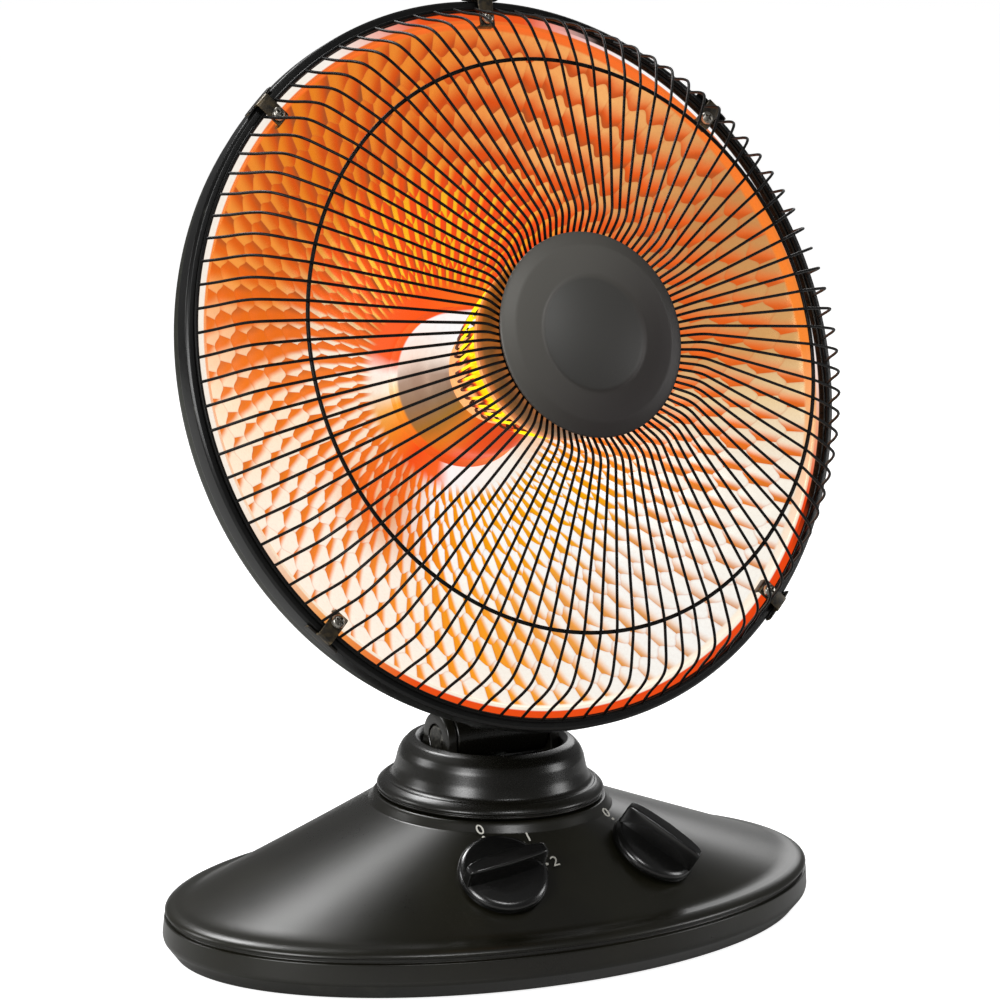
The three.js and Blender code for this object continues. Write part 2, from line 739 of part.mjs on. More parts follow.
// A rounded hinge cheek that stands on the floor of the pit.
function cheek(side) {
  const shape = new THREE.Shape();
  shape.moveTo(-cheekRadius - cheekFoot, pitFloor - 1);
  shape.lineTo(cheekRadius + cheekFoot, pitFloor - 1);
  shape.absarc(0, tiltZ, cheekRadius, -0.1, Math.PI + 0.1, false);
  return sidePlate(shape, cheekThick, side * (slotHalfWidth + cheekThick / 2), 8);
}

function turretCover() {
  const alongX = (geometry, from) => geometry.rotateY(Math.PI / 2).translate(from, 0, tiltZ);
  return cut(
    join(turretShell(), cheek(-1), cheek(1)),
    alongX(disc(boltRadius + gap, -60, 60, 12), 0),
    alongX(disc(boltHeadRadius + gap, 0, 30, 12), hingeHalf - boltRecess),
    alongX(disc(boltHeadRadius + gap, -30, 0, 12), boltRecess - hingeHalf),
  );
}

function tiltBolt() {
  const seat = boltRecess - hingeHalf - gap;
  const outside = seat - boltHeadThick;
  return turned([
    [0, outside], [boltHeadRadius - 0.8, outside], [boltHeadRadius, outside + 0.8],
    [boltHeadRadius, seat], [boltRadius, seat], [boltRadius, hingeHalf - 0.6], [0, hingeHalf - 0.6],
  ], 12).rotateY(Math.PI / 2).translate(0, 0, tiltZ);
}

function tiltNut() {
  const from = hingeHalf - boltRecess + gap;
  return tubeRing((boltRadius + gap) / hexagon, boltHeadRadius - 0.3, from, hingeHalf - 0.3, 6)
    .rotateY(Math.PI / 2).translate(0, 0, tiltZ);
}

// ---------------------------------------------------------------- head: shells
const bowl = (radius) => -bowlDepth * (1 - (radius / rimInner) ** 2);
const hubFootRadius = hubRadius + hubFlange;
const bowlRadii = [bowlHole, ...[0, 0.41, 0.74, 1].map((share) =>
  hubFootRadius + (lipInner - hubFootRadius) * share)];

// The pressed reflector: a parabola with a flat lip that the rim clamps.
function reflectorShape() {
  const front = bowlRadii.map((radius) => [radius, bowl(radius)]);
  const back = bowlRadii.map((radius) => [radius, bowl(radius) - sheet * 1.05]).reverse();
  return turnedRing([
    ...front, [lipInner + 1.4, 0], [lipOuter, 0], [lipOuter, -sheet], [lipInner + 2.4, -sheet], ...back,
  ], headSides);
}

function reflector() {
  const holes = clipAngles.map((angle) =>
    spun(placed(disc(screwRadius + gap, -20, 20, 6), screwCircle, 0, 0), angle));
  return cut(reflectorShape(), ...holes);
}

const shellFront = -sheet - gap;
function shellProfile(inset) {
  const bendR = shellRadius - shellBend;
  const radius = shellBend - inset;
  return [
    [shellRadius - inset, shellFront],
    ...arc(bendR, -shellBand, radius, 0, -62, 1),
    [kneeRadius, bowl(kneeRadius) - kneeClear + inset],
    [housingRadius + 2 - inset, housingFront + inset],
    [housingRadius - 1 - inset, housingBack + housingEdge - 1],
    [housingRadius - housingEdge - inset * 0.6, housingBack + inset], [0, housingBack + inset],
  ];
}

// The rear shell with its round terminal housing and a fan of air slots.
function rearCover() {
  const shell = turned([...shellProfile(0).reverse(), ...shellProfile(shellSheet)], headSides);
  const slots = [-2, -1, 0, 1, 2].map((i) =>
    block(slotWidth, slotLength, 20, [i * slotPitch, 14, housingBack - 8]));
  return cut(shell, ...slots);
}

// The clamping channel: a front flange over the lip and a wall round the shell's edge.
function rimRing() {
  const low = gap;
  const high = gap + rimSheet;
  return turnedRing([
    [rimInner, low], [rimInner + 0.4, high + 0.3], [rimRadius - 1.2, high],
    [rimRadius, high - 1.2], [rimRadius, -rimDepth],
    [rimRadius - rimSheet, -rimDepth], [rimRadius - rimSheet, low],
  ], headSides);
}

// ---------------------------------------------------------------- head: guard
const guardPath = [
  [innerRadius, innerDepth], [kinkRadius, kinkDepth], [midRadius, midDepth],
  [guardEndRadius - shoulderInset, shoulderDepth], [guardEndRadius - cornerInset, cornerDepth],
  [guardEndRadius, guardEndDepth],
];

function guardWire() {
  const path = guardPath.map(([radius, depth]) => v3(radius, 0, depth));
  return bentWire(path, wireHalf, 3, () => v3(0, 1, 0));
}

// A hoop of square wire whose corners fall between the spokes.
function hoop(radius, depth, wire, sides) {
  const half = wire * 0.8;
  const mean = radius / (1 - (Math.PI / sides) ** 2 / 4);
  return turnedRing([
    [mean - half, depth - half], [mean + half, depth - half],
    [mean + half, depth + half], [mean - half, depth + half],
  ], sides);
}

// The disc behind the wires' inner ends, which the cap covers.
const guardCentre = () => tubeRing(
  studRadius + gap, innerRadius + 1, shieldFront + gap, shieldFront + gap + centreThick, 16);

function guard() {
  const spoke = guardWire();
  let whole = toSolid(hoop(guardEndRadius, guardEndDepth, ringWireRadius, headSides));
  for (let i = 0; i < wireCount; i += 1) whole = whole.add(toSolid(spun(spoke, 360 * i / wireCount)));
  return toGeometry(whole);
}

const guardMidRing = () =>
  hoop(midRadius - 0.5, midDepth - wireRadius - ringWireRadius - gap - 0.5, ringWireRadius, headSides);

function capFace(offset) {
  const edge = capRadius - Math.max(0, -offset);
  return [
    [edge, capEdgeDepth + capSheet + offset],
    [edge - capBevel, capEdgeDepth + capSheet + capRise + offset],
    [capRecessRadius + 2, capEdgeDepth + capSheet + capRise + 0.2 + offset],
    [capRecessRadius - 1, capEdgeDepth + capSheet + capRise - capRecess + offset],
    [0, capEdgeDepth + capSheet + capRise - capRecess - 0.5 + offset],
  ];
}

function centreCap() {
  return turned([...capFace(0).reverse(), [capRadius, capEdgeDepth], ...capFace(-capSheet)], 20);
}

// A channel-shaped strap over the guard's hoop, with a wider leg on the rim's outside.
function clip() {
  const over = guardEndDepth + ringWireRadius + gap;
  const outer = rimRadius + gap;
  const section = outline([
    [clipInner, gap], [clipInner + clipSheet, gap], [clipInner + clipSheet, over], [outer, over],
    [outer, -clipDrop], [outer + clipSheet, -clipDrop], [outer + clipSheet, over + clipSheet],
    [clipInner, over + clipSheet],
  ]);
  const upright = new THREE.ExtrudeGeometry(section, { depth: clipNeck, bevelEnabled: false });
  const axes = new THREE.Matrix4().makeBasis(v3(1, 0, 0), v3(0, 0, 1), v3(0, -1, 0));
  const strap = closed(upright.applyMatrix4(axes).translate(0, clipNeck / 2, 0));
  const leg = block(clipSheet, clipWidth, clipLeg, [outer + clipSheet / 2, 0, -clipDrop]);
  return cut(join(strap, leg), placed(disc(screwRadius + gap, -5, 15, 6), screwCircle, 0, 0));
}

function clipScrew() {
  const seat = guardEndDepth + ringWireRadius + gap + clipSheet + gap;
  return placed(turned([
    [0, -screwReach], [screwRadius, -screwReach], [screwRadius, seat], [screwHeadRadius, seat],
    [screwHeadRadius * 0.7, seat + screwHeadHeight], [0, seat + screwHeadHeight],
  ], 6), screwCircle, 0, 0);
}

// ---------------------------------------------------------------- head: heating element
const hubFoot = bowl(hubFootRadius) + gap + 0.5;
const hubArc = (inset) => arc(hubRadius - hubShoulder, hubTop - hubDome, hubShoulder - inset, 5, 50, 1);

// A domed can that stands on the reflector and carries the former.
const hubCup = () => turnedRing([
  [hubFootRadius, hubFoot], [hubFootRadius, hubFoot + hubSheet], [hubRadius, hubFoot + hubSheet],
  ...hubArc(0), [neckRingRadius - 1, hubTop], [studRadius + gap, hubTop],
  [studRadius + gap, hubTop - hubSheet], [neckRingRadius - 1.6, hubTop - hubSheet],
  ...hubArc(hubSheet).reverse(), [hubRadius - hubSheet, hubFoot],
], 16);

const formerSlope = (formerFront.radius - formerBack.radius) / (formerFront.depth - formerBack.depth);
const formerRadius = (depth) => formerBack.radius + formerSlope * (depth - formerBack.depth);

// The ceramic former: a cone between a small rear flange and a wide front one.
const elementFormer = () => turnedRing([
  [studRadius + gap, neckRingDepth - neckRingThick], [neckRingRadius, neckRingDepth - neckRingThick],
  [neckRingRadius, neckRingDepth], [formerBack.radius, formerBack.depth],
  [formerFront.radius, formerFront.depth], [flangeRadius, formerFront.depth + 0.3],
  [flangeRadius, formerFront.depth + flangeThick], [studRadius + gap, formerFront.depth + flangeThick],
], 20);

// The centre line of the coil: flat curls laid along the cone, side by side all the way round.
function coilPath() {
  const lean = Math.atan(formerSlope);
  const middle = (coilFront + coilBack) / 2;
  const halfLength = (coilFront - coilBack) / 2 / Math.cos(lean);
  const low = coilStandOff + coilWire;
  const squared = (value) => Math.sign(value) * Math.sqrt(Math.abs(value));
  const span = 1 - 1.6 / curlCount;
  const at = (round, along, height) => {
    const depth = middle + along * Math.cos(lean) - height * Math.sin(lean);
    const radius = formerRadius(middle) + along * Math.sin(lean) + height * Math.cos(lean);
    return v3(radius * Math.cos(round), radius * Math.sin(round), depth);
  };
  const path = [];
  const total = curlCount * curlSteps;
  for (let i = 0; i <= total; i += 1) {
    const swing = turn * i / curlSteps + Math.PI;
    const along = halfLength * squared(Math.cos(swing));
    const height = low + coilThick / 2 * (1 - squared(Math.sin(swing)));
    path.push(at(coilStart + turn * span * i / total, along, height));
  }
  const lead = (point) => {
    const round = Math.atan2(point.y, point.x);
    const radius = formerBack.radius + coilWire + 1.3;
    const foot = (depth) => v3(radius * Math.cos(round), radius * Math.sin(round), depth);
    return [foot(neckRingDepth + gap), foot(neckRingDepth + gap + 2.2)];
  };
  return [...lead(path[0]), ...path, ...lead(path[path.length - 1]).reverse()];
}

// The least distance between two stretches of the wire that are not neighbours, less its thickness.
function leastGap(path, radius, neighbours) {
  let least = Infinity;
  const dense = [];
  for (let i = 0; i + 1 < path.length; i += 1) {
    for (let k = 0; k < 4; k += 1) dense.push(path[i].clone().lerp(path[i + 1], k / 4));
  }
  for (let i = 0; i < dense.length; i += 1) {
    for (let j = i + 4 * neighbours; j < dense.length; j += 1) {
      least = Math.min(least, dense[i].distanceTo(dense[j]));
    }
  }
  return least - 2 * radius;
}

function heatingCoil() {
  const path = coilPath();
  console.log(`heating_coil least gap to itself ${leastGap(path, coilWire, 3).toFixed(2)} mm`);
  const round = (i) => v3(path[i].y, -path[i].x, 0).normalize();
  return bentWire(path, coilWire, curlSides, round);
}

const elementShield = () => turnedRing([
  [shieldRadius, shieldBack], [shieldRadius, shieldFront - shieldEdge],
  [shieldRadius - shieldEdge, shieldFront],
  [studRadius + gap, shieldFront], [studRadius + gap, shieldFront - shieldSheet],
  [shieldRadius - shieldSheet, shieldFront - shieldSheet], [shieldRadius - shieldSheet, shieldBack],
], 20);

// One stud holds the stack from the mounting plate to the cap.
const elementStud = () =>
  disc(studRadius, housingFront + 2, capEdgeDepth + capRise - capRecess - 0.5 - gap, 10);

const mountFront = bowl(bowlHole) - sheet - gap - 0.6;
const mountBack = mountFront - mountPlateThick;
const mountPlate = () => tubeRing(studRadius + gap, mountPlateRadius, mountBack, mountFront, 16);

const studNut = () => tubeRing(
  (studRadius + gap) / hexagon, studNutRadius, mountBack - gap - studNutHeight, mountBack - gap, 6);

const thermalCutout = () =>
  placed(disc(cutoutRadius, -cutoutHeight, 0, 14), cutoutReach, 0, mountBack - gap);

// ---------------------------------------------------------------- neck between head and turret
// One level of the neck: its front and back, and half its width.
const neckLevel = (front, back, halfX, z) =>
  ({ halfX, halfY: (back - front) / 2, y: (back + front) / 2, z });

// From the hinge barrel up to the rear shell the neck leans back and widens.
function neckLevels() {
  const front = swivelY - barrelRadius;
  const back = swivelY + barrelRadius;
  const stem = neckWidth / 2 - 0.5;
  return [
    neckLevel(front + 1, back - 1, stem, tiltZ),
    neckLevel(front, back + neckHip, stem, tiltZ + barrelRadius),
    neckLevel(front, back + neckHeel, stem, tiltZ + 2 * barrelRadius),
    ...[0, 0.3, 0.6, 1].map((share) => neckLevel(
      front - neckLean * share,
      headY + neckReach - neckSweep * (1 - share) ** 2,
      stem + neckFlare * share,
      headZ - neckDrop + neckHeight * share,
    )),
  ];
}

// A moulded foot, drawn in the world frame. Its top is cut to the rear shell so that it seats on it.
function neck() {
  const body = ovalLoft(neckLevels(), 16, 0.6);
  const barrel = disc(barrelRadius, -neckWidth / 2, neckWidth / 2, 20);
  const bore = disc(boltRadius + gap, -neckWidth, neckWidth, 12);
  const onHinge = (geometry) => geometry.rotateY(Math.PI / 2).translate(0, swivelY, tiltZ);
  const grown = shellProfile(-gap - 0.1);
  grown[grown.length - 1] = [0, housingBack - gap];
  const envelope = turned([[0, 40], [rimRadius + 4, 40], [rimRadius + 4, 0], ...grown], headSides);
  head.updateMatrix();
  return cut(join(body, onHinge(barrel)), envelope.applyMatrix4(head.matrix), onHinge(bore));
}

// ---------------------------------------------------------------- assembly
add(base, 'base_cover', baseCover(), blackPlastic);
add(base, 'base_plate', basePlate(), blackPlastic);
footPlaces.forEach(([x, y], i) => add(base, `foot_${i + 1}`, placed(foot(), x, y, 0), rubber));
screwPlaces.forEach(({ x, y }, i) => add(base, `base_screw_${i + 1}`, placed(baseScrew(), x, y, 0), steel));
add(base, 'swivel_bearing', placed(swivelBearing(), 0, swivelY, 0), innerPlastic);
add(base, 'swing_motor', swingMotor(), steel);
motorBracket().forEach((leg, i) => add(base, `motor_bracket_${i + 1}`, leg, steel));
add(base, 'heat_switch', rotarySwitch().applyMatrix4(heatFrame), innerPlastic);
add(base, 'swing_switch', rotarySwitch().applyMatrix4(swingFrame), innerPlastic);
add(base, 'tip_switch', tipSwitch(), innerPlastic);
add(base, 'cord_gland', placed(cordGland().rotateX(-Math.PI / 2), glandX, glandY, glandZ), rubber);
add(base, 'tip_plunger', tipPlunger(), innerPlastic);
add(base, 'crank_disc', crankDisc(), innerPlastic);
add(base, 'drive_link', driveLink(), steel);
add(base, 'heat_knob', knob(heatGripTurn).applyMatrix4(heatFrame), knobPlastic);
add(base, 'swing_knob', knob(swingGripTurn).applyMatrix4(swingFrame), knobPlastic);

add(turret, 'turret_cover', turretCover(), blackPlastic);
add(turret, 'swivel_post', swivelPost(), innerPlastic);
add(turret, 'swing_arm', armBody(), steel);
add(turret, 'tilt_bolt', tiltBolt(), steel);
add(turret, 'tilt_nut', tiltNut(), steel);

add(group, 'neck', neck(), blackPlastic);
add(head, 'rear_cover', rearCover(), blackPaint);
add(head, 'rim_ring', rimRing(), blackPaint);
add(head, 'reflector', reflector(), mirror);
add(head, 'guard', guard(), blackWire);
add(head, 'guard_mid_ring', guardMidRing(), blackWire);
add(head, 'guard_centre', guardCentre(), blackWire);
add(head, 'centre_cap', centreCap(), capPaint);
clipAngles.forEach((angle, i) => add(head, `clip_${i + 1}`, spun(clip(), angle), brass));
clipAngles.forEach((angle, i) => add(head, `clip_screw_${i + 1}`, spun(clipScrew(), angle), steel));
add(head, 'hub_cup', hubCup(), mirror);
add(head, 'element_former', elementFormer(), ceramic);
add(head, 'heating_coil', heatingCoil(), glowing);
add(head, 'element_shield', elementShield(), mirror);
add(head, 'element_stud', elementStud(), steel);
add(head, 'stud_nut', studNut(), steel);
add(head, 'mount_plate', mountPlate(), steel);
add(head, 'thermal_cutout', thermalCutout(), innerPlastic);

export default group;
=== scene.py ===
"""The looks of a parabolic heater: shells, reflector, wire guard, glowing coil and controls.

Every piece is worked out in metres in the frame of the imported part: +Z up, the front towards -Y.
Pieces of the head are turned bodies, drawn about the head's own axis as (across, up, forward) and
then carried to their place by in_head().
"""
import math

import bpy
import numpy as np
from bpy.props import FloatProperty, FloatVectorProperty, IntProperty, PointerProperty
from mathutils import Matrix, Vector


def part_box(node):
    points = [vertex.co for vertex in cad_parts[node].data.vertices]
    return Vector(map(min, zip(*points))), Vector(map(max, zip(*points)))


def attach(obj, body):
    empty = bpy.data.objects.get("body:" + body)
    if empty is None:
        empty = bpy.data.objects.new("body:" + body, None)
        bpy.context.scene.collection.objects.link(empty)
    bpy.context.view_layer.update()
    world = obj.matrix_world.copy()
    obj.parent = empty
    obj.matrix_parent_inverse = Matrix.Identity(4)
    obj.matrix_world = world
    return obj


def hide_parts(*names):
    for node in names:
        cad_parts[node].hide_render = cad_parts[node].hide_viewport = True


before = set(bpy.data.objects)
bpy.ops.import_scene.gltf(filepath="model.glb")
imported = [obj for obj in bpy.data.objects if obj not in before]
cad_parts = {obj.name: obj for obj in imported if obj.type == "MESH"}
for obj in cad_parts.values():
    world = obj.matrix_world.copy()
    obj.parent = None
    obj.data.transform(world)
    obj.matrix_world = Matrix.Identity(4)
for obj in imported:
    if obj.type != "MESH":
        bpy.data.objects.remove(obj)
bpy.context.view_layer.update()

bl_info = {
    "name": "Parabolic heater",
    "version": (1, 0, 0),
    "blender": (4, 5, 0),
    "location": "View3D > Sidebar > Heater",
    "description": "Makes the fine surfaces and finishes of a parabolic heater round its packed parts",
    "category": "Object",
}

MM = 0.001
TURN = 2 * math.pi


def middle(node):
    """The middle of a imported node's box."""
    low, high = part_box(node)
    return (low + high) / 2


def half_size(node):
    """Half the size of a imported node's box."""
    low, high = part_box(node)
    return (high - low) / 2


# Places that other sizes start from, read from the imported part.
SWIVEL_Y = middle("swivel_post").y
TILT_Z = middle("tilt_bolt").z
BASE_HALF_X = half_size("base_cover").x
BASE_HALF_Y = half_size("base_cover").y
BASE_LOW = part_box("base_cover")[0].z
BASE_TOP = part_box("base_cover")[1].z
TURRET_RADIUS = half_size("turret_cover").x
TURRET_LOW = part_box("turret_cover")[0].z
RIM_RADIUS = half_size("rim_ring").x
CAP_RADIUS = half_size("centre_cap").x
HEAD_TILT = math.radians(19.8)
MOUTH = Vector((0, SWIVEL_Y - 23.6 * MM, TILT_Z + 196 * MM))
HEAD_MATRIX = Matrix.Translation(MOUTH) @ Matrix.Rotation(math.pi / 2 - HEAD_TILT, 4, "X")
SHARP_ANGLE = math.radians(38)


# ---------------------------------------------------------------- surfaces
def srgb(code):
    """A colour given as RRGGBB, made linear."""
    value = np.array([int(code[i:i + 2], 16) for i in (0, 2, 4)]) / 255
    linear = np.where(value <= 0.04045, value / 12.92, ((value + 0.055) / 1.055) ** 2.4)
    return (*linear, 1.0)


def linear(colour):
    """A colour given as RRGGBB, or as the linear red, green and blue of a setting."""
    return srgb(colour) if isinstance(colour, str) else (*colour, 1.0)


def signed_power(value, power):
    """A value raised to a power, with its sign kept."""
    return np.sign(value) * np.abs(value) ** power


def eased(points, ease, steps=4, closed=False):
    """Softens a profile's corners: each becomes the quadratic curve between the two places `ease` away
    from it on its sides, or at 45% of a shorter side. Points may have any number of coordinates, and
    `ease` may be one length or one for each point."""
    p = np.asarray(points, float)
    ease = np.zeros((len(p), 1)) + np.reshape(ease, (-1, 1))
    before, after = np.roll(p, 1, 0), np.roll(p, -1, 0)
    t = np.linspace(0, 1, steps + 1)[None, :, None]
    near, far = before - p, after - p
    near_length = np.linalg.norm(near, axis=1, keepdims=True)
    far_length = np.linalg.norm(far, axis=1, keepdims=True)
    start = p + near * np.minimum(ease / np.maximum(near_length, 1e-9), 0.45)
    end = p + far * np.minimum(ease / np.maximum(far_length, 1e-9), 0.45)
    curve = (1 - t) ** 2 * start[:, None] + 2 * t * (1 - t) * p[:, None] + t ** 2 * end[:, None]
    if closed:
        return curve.reshape(-1, p.shape[1])
    return np.concatenate([p[:1], curve[1:-1].reshape(-1, p.shape[1]), p[-1:]])


def grid_faces(rows, cols, wrap_rows, wrap_cols):
    """Quads between neighbours of a grid of points. A wrapped side joins its last line to its first."""
    i = np.arange(rows if wrap_rows else rows - 1)[:, None]
    j = np.arange(cols if wrap_cols else cols - 1)[None, :]
    i2, j2 = (i + 1) % rows, (j + 1) % cols
    return np.stack([i * cols + j, i * cols + j2, i2 * cols + j2, i2 * cols + j], -1).reshape(-1, 4)


def body(points, wrap_rows=False, first=None, last=None):
    """A closed body from rows of points that each run once round it. The rows wrap too, or end at the
    poles `first` and `last`. The faces are turned so that the volume comes out positive."""
    rows, cols = points.shape[:2]
    verts = [points.reshape(-1, 3)]
    faces = [grid_faces(rows, cols, wrap_rows, True)]
    count = rows * cols
    j = np.arange(cols)
    for pole, row, order in ((first, 0, -1), (last, rows - 1, 1)):
        if pole is not None:
            ring = row * cols
            fan = np.stack([ring + j, ring + (j + 1) % cols, np.full(cols, count)], -1)
            faces.append(fan[:, ::order])
            verts.append(np.asarray(pole, float)[None, :])
            count += 1
    verts = np.concatenate(verts)
    if volume(verts, faces) < 0:
        faces = [f[:, ::-1] for f in faces]
    return verts, faces


def volume(verts, faces):
    """Six times the signed volume: the triple products of every triangle of the fans of the faces."""
    total = 0.0
    for f in faces:
        for k in range(1, f.shape[1] - 1):
            a, b, c = verts[f[:, 0]], verts[f[:, k]], verts[f[:, k + 1]]
            total += np.einsum("ij,ij->", a, np.cross(b, c))
    return total


def revolve(profile, sides):
    """(radius, height) points turned about Z: x = radius cos a, y = radius sin a. A profile that starts
    and ends on the axis gets poles there, and any other closes on itself."""
    profile = np.asarray(profile, float)
    on_axis = profile[0, 0] < 1e-9
    ring = profile[1:-1] if on_axis else profile
    angle = np.linspace(0, TURN, sides, endpoint=False)
    points = np.stack([
        ring[:, :1] * np.cos(angle), ring[:, :1] * np.sin(angle), ring[:, 1:] + 0 * angle,
    ], -1)
    if on_axis:
        return body(points, first=(0, 0, profile[0, 1]), last=(0, 0, profile[-1, 1]))
    return body(points, wrap_rows=True)


def loft(levels, sides, corner=1.0):
    """Ovals x = half_x c(a), y = middle + half_y s(a) at their heights, where c and s are the cosine and
    sine raised to `corner` with their signs kept. Levels are (half_x, half_y, middle, z)."""
    angle = np.linspace(0, TURN, sides, endpoint=False)
    half_x, half_y, centre, z = (np.asarray(levels, float)[:, k:k + 1] for k in range(4))
    x = half_x * signed_power(np.cos(angle), corner)
    y = centre + half_y * signed_power(np.sin(angle), corner)
    return np.stack([x, y, z + 0 * angle], -1)


def tube(paths, radius, sides, guide):
    """Round wires along paths: point + radius (cos a . side + sin a . up), where side is `guide` made
    square to the path. Paths are (count, steps, 3), guides are (count, 1 or steps, 3)."""
    ahead = np.roll(paths, -1, 1) - np.roll(paths, 1, 1)
    ahead[:, 0] = paths[:, 1] - paths[:, 0]
    ahead[:, -1] = paths[:, -1] - paths[:, -2]
    ahead /= np.linalg.norm(ahead, axis=-1, keepdims=True)
    side = guide - ahead * np.sum(guide * ahead, -1, keepdims=True)
    side /= np.linalg.norm(side, axis=-1, keepdims=True)
    up = np.cross(ahead, side)
    angle = np.linspace(0, TURN, sides, endpoint=False)[:, None]
    rings = paths[:, :, None] + radius * (
        np.cos(angle) * side[:, :, None] + np.sin(angle) * up[:, :, None])
    return [body(ring, first=path[0], last=path[-1]) for ring, path in zip(rings, paths)]


def block(low, high, soft):
    """A box with soft corners: a superquadric, whose powers of sine and cosine stay far under 1."""
    low, high = np.asarray(low, float), np.asarray(high, float)
    rise = np.linspace(-math.pi / 2, math.pi / 2, 26)[1:-1, None]
    angle = np.linspace(0, TURN, 48, endpoint=False)[None, :]
    reach = signed_power(np.cos(rise), soft)
    x, y = reach * signed_power(np.cos(angle), soft), reach * signed_power(np.sin(angle), soft)
    points = np.stack([x, y, signed_power(np.sin(rise), soft) + 0 * angle], -1)
    centre, half = (low + high) / 2, (high - low) / 2
    pole = half * [0, 0, 1]
    return body(centre + points * half, first=centre - pole, last=centre + pole)


def strip(path, thick, width):
    """A bent strap in the (radius, depth) plane: the path is given its thickness square to itself and
    its width across, as rows of four corners that are eased along their edges."""
    path = np.asarray(path, float)
    ahead = np.gradient(path, axis=0)
    ahead /= np.linalg.norm(ahead, axis=1, keepdims=True)
    square = np.stack([-ahead[:, 1], ahead[:, 0]], -1)
    corners = np.array([[-1, -1], [1, -1], [1, 1], [-1, 1]]) * [width / 2, thick / 2]
    corners = eased(corners, thick / 4, 3, closed=True)
    lift = corners[None, :, 1, None] * square[:, None]
    radius, depth = path[:, None, 0] + lift[..., 0], path[:, None, 1] + lift[..., 1]
    points = np.stack([radius, corners[None, :, 0] + 0 * radius, depth], -1)
    first, last = [(path[k, 0], 0, path[k, 1]) for k in (0, -1)]
    return body(points, first=first, last=last)


def moved(part, matrix):
    """A body carried by a 4 x 4 matrix."""
    verts, faces = part
    m = np.array(matrix, float)
    return verts @ m[:3, :3].T + m[:3, 3], faces


def in_head(part):
    """A body drawn as (across, up, forward) of the mouth, carried to the head's place."""
    return moved(part, HEAD_MATRIX)


def spun(part, degrees):
    """A body turned about Z."""
    return moved(part, Matrix.Rotation(math.radians(degrees), 4, "Z"))


def mesh_of(name, parts):
    """One mesh of several bodies, smooth but for edges sharper than 38 degrees."""
    verts, faces, base = [], [], 0
    for part_verts, part_faces in parts:
        verts.append(part_verts)
        for f in part_faces:
            faces.extend((f + base).tolist())
        base += len(part_verts)
    mesh = bpy.data.meshes.new(name)
    mesh.from_pydata(np.concatenate(verts).tolist(), [], faces)
    mesh.shade_smooth()
    mesh.set_sharp_from_angle(angle=SHARP_ANGLE)
    return mesh


def carve(thing, cutters):
    """Takes each cutting body away in turn, so that the mesh itself has the openings."""
    for part in cutters:
        tool = bpy.data.objects.new("cutter", mesh_of("cutter", [part]))
        bpy.context.scene.collection.objects.link(tool)
        modifier = thing.modifiers.new("cut", "BOOLEAN")
        modifier.operation = "DIFFERENCE"
        modifier.solver = "EXACT"
        modifier.object = tool
        bpy.context.view_layer.update()
        graph = bpy.context.evaluated_depsgraph_get()
        mesh = bpy.data.meshes.new_from_object(thing.evaluated_get(graph))
        thing.modifiers.clear()
        if len(mesh.polygons) < 4:
            raise RuntimeError(f"the opening in {thing.name} could not be cut")
        mesh.shade_smooth()
        mesh.set_sharp_from_angle(angle=SHARP_ANGLE)
        thing.data = mesh
        bpy.data.objects.remove(tool)


def piece(name, parts, carrier, material, stands_for=(), cutters=()):
    """Makes a piece from bodies, cuts it, paints it and lets it ride on a body of the frame."""
    thing = bpy.data.objects.new(name, mesh_of(name, parts))
    bpy.context.scene.collection.objects.link(thing)
    carve(thing, cutters)
    thing.data.materials.clear()
    thing.data.materials.append(material)
    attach(thing, carrier)
    if stands_for:
        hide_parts(*stands_for)
    return thing


def numbered(stem, count):
    """Names of like nodes, counted from one."""
    return [f"{stem}_{i + 1}" for i in range(count)]


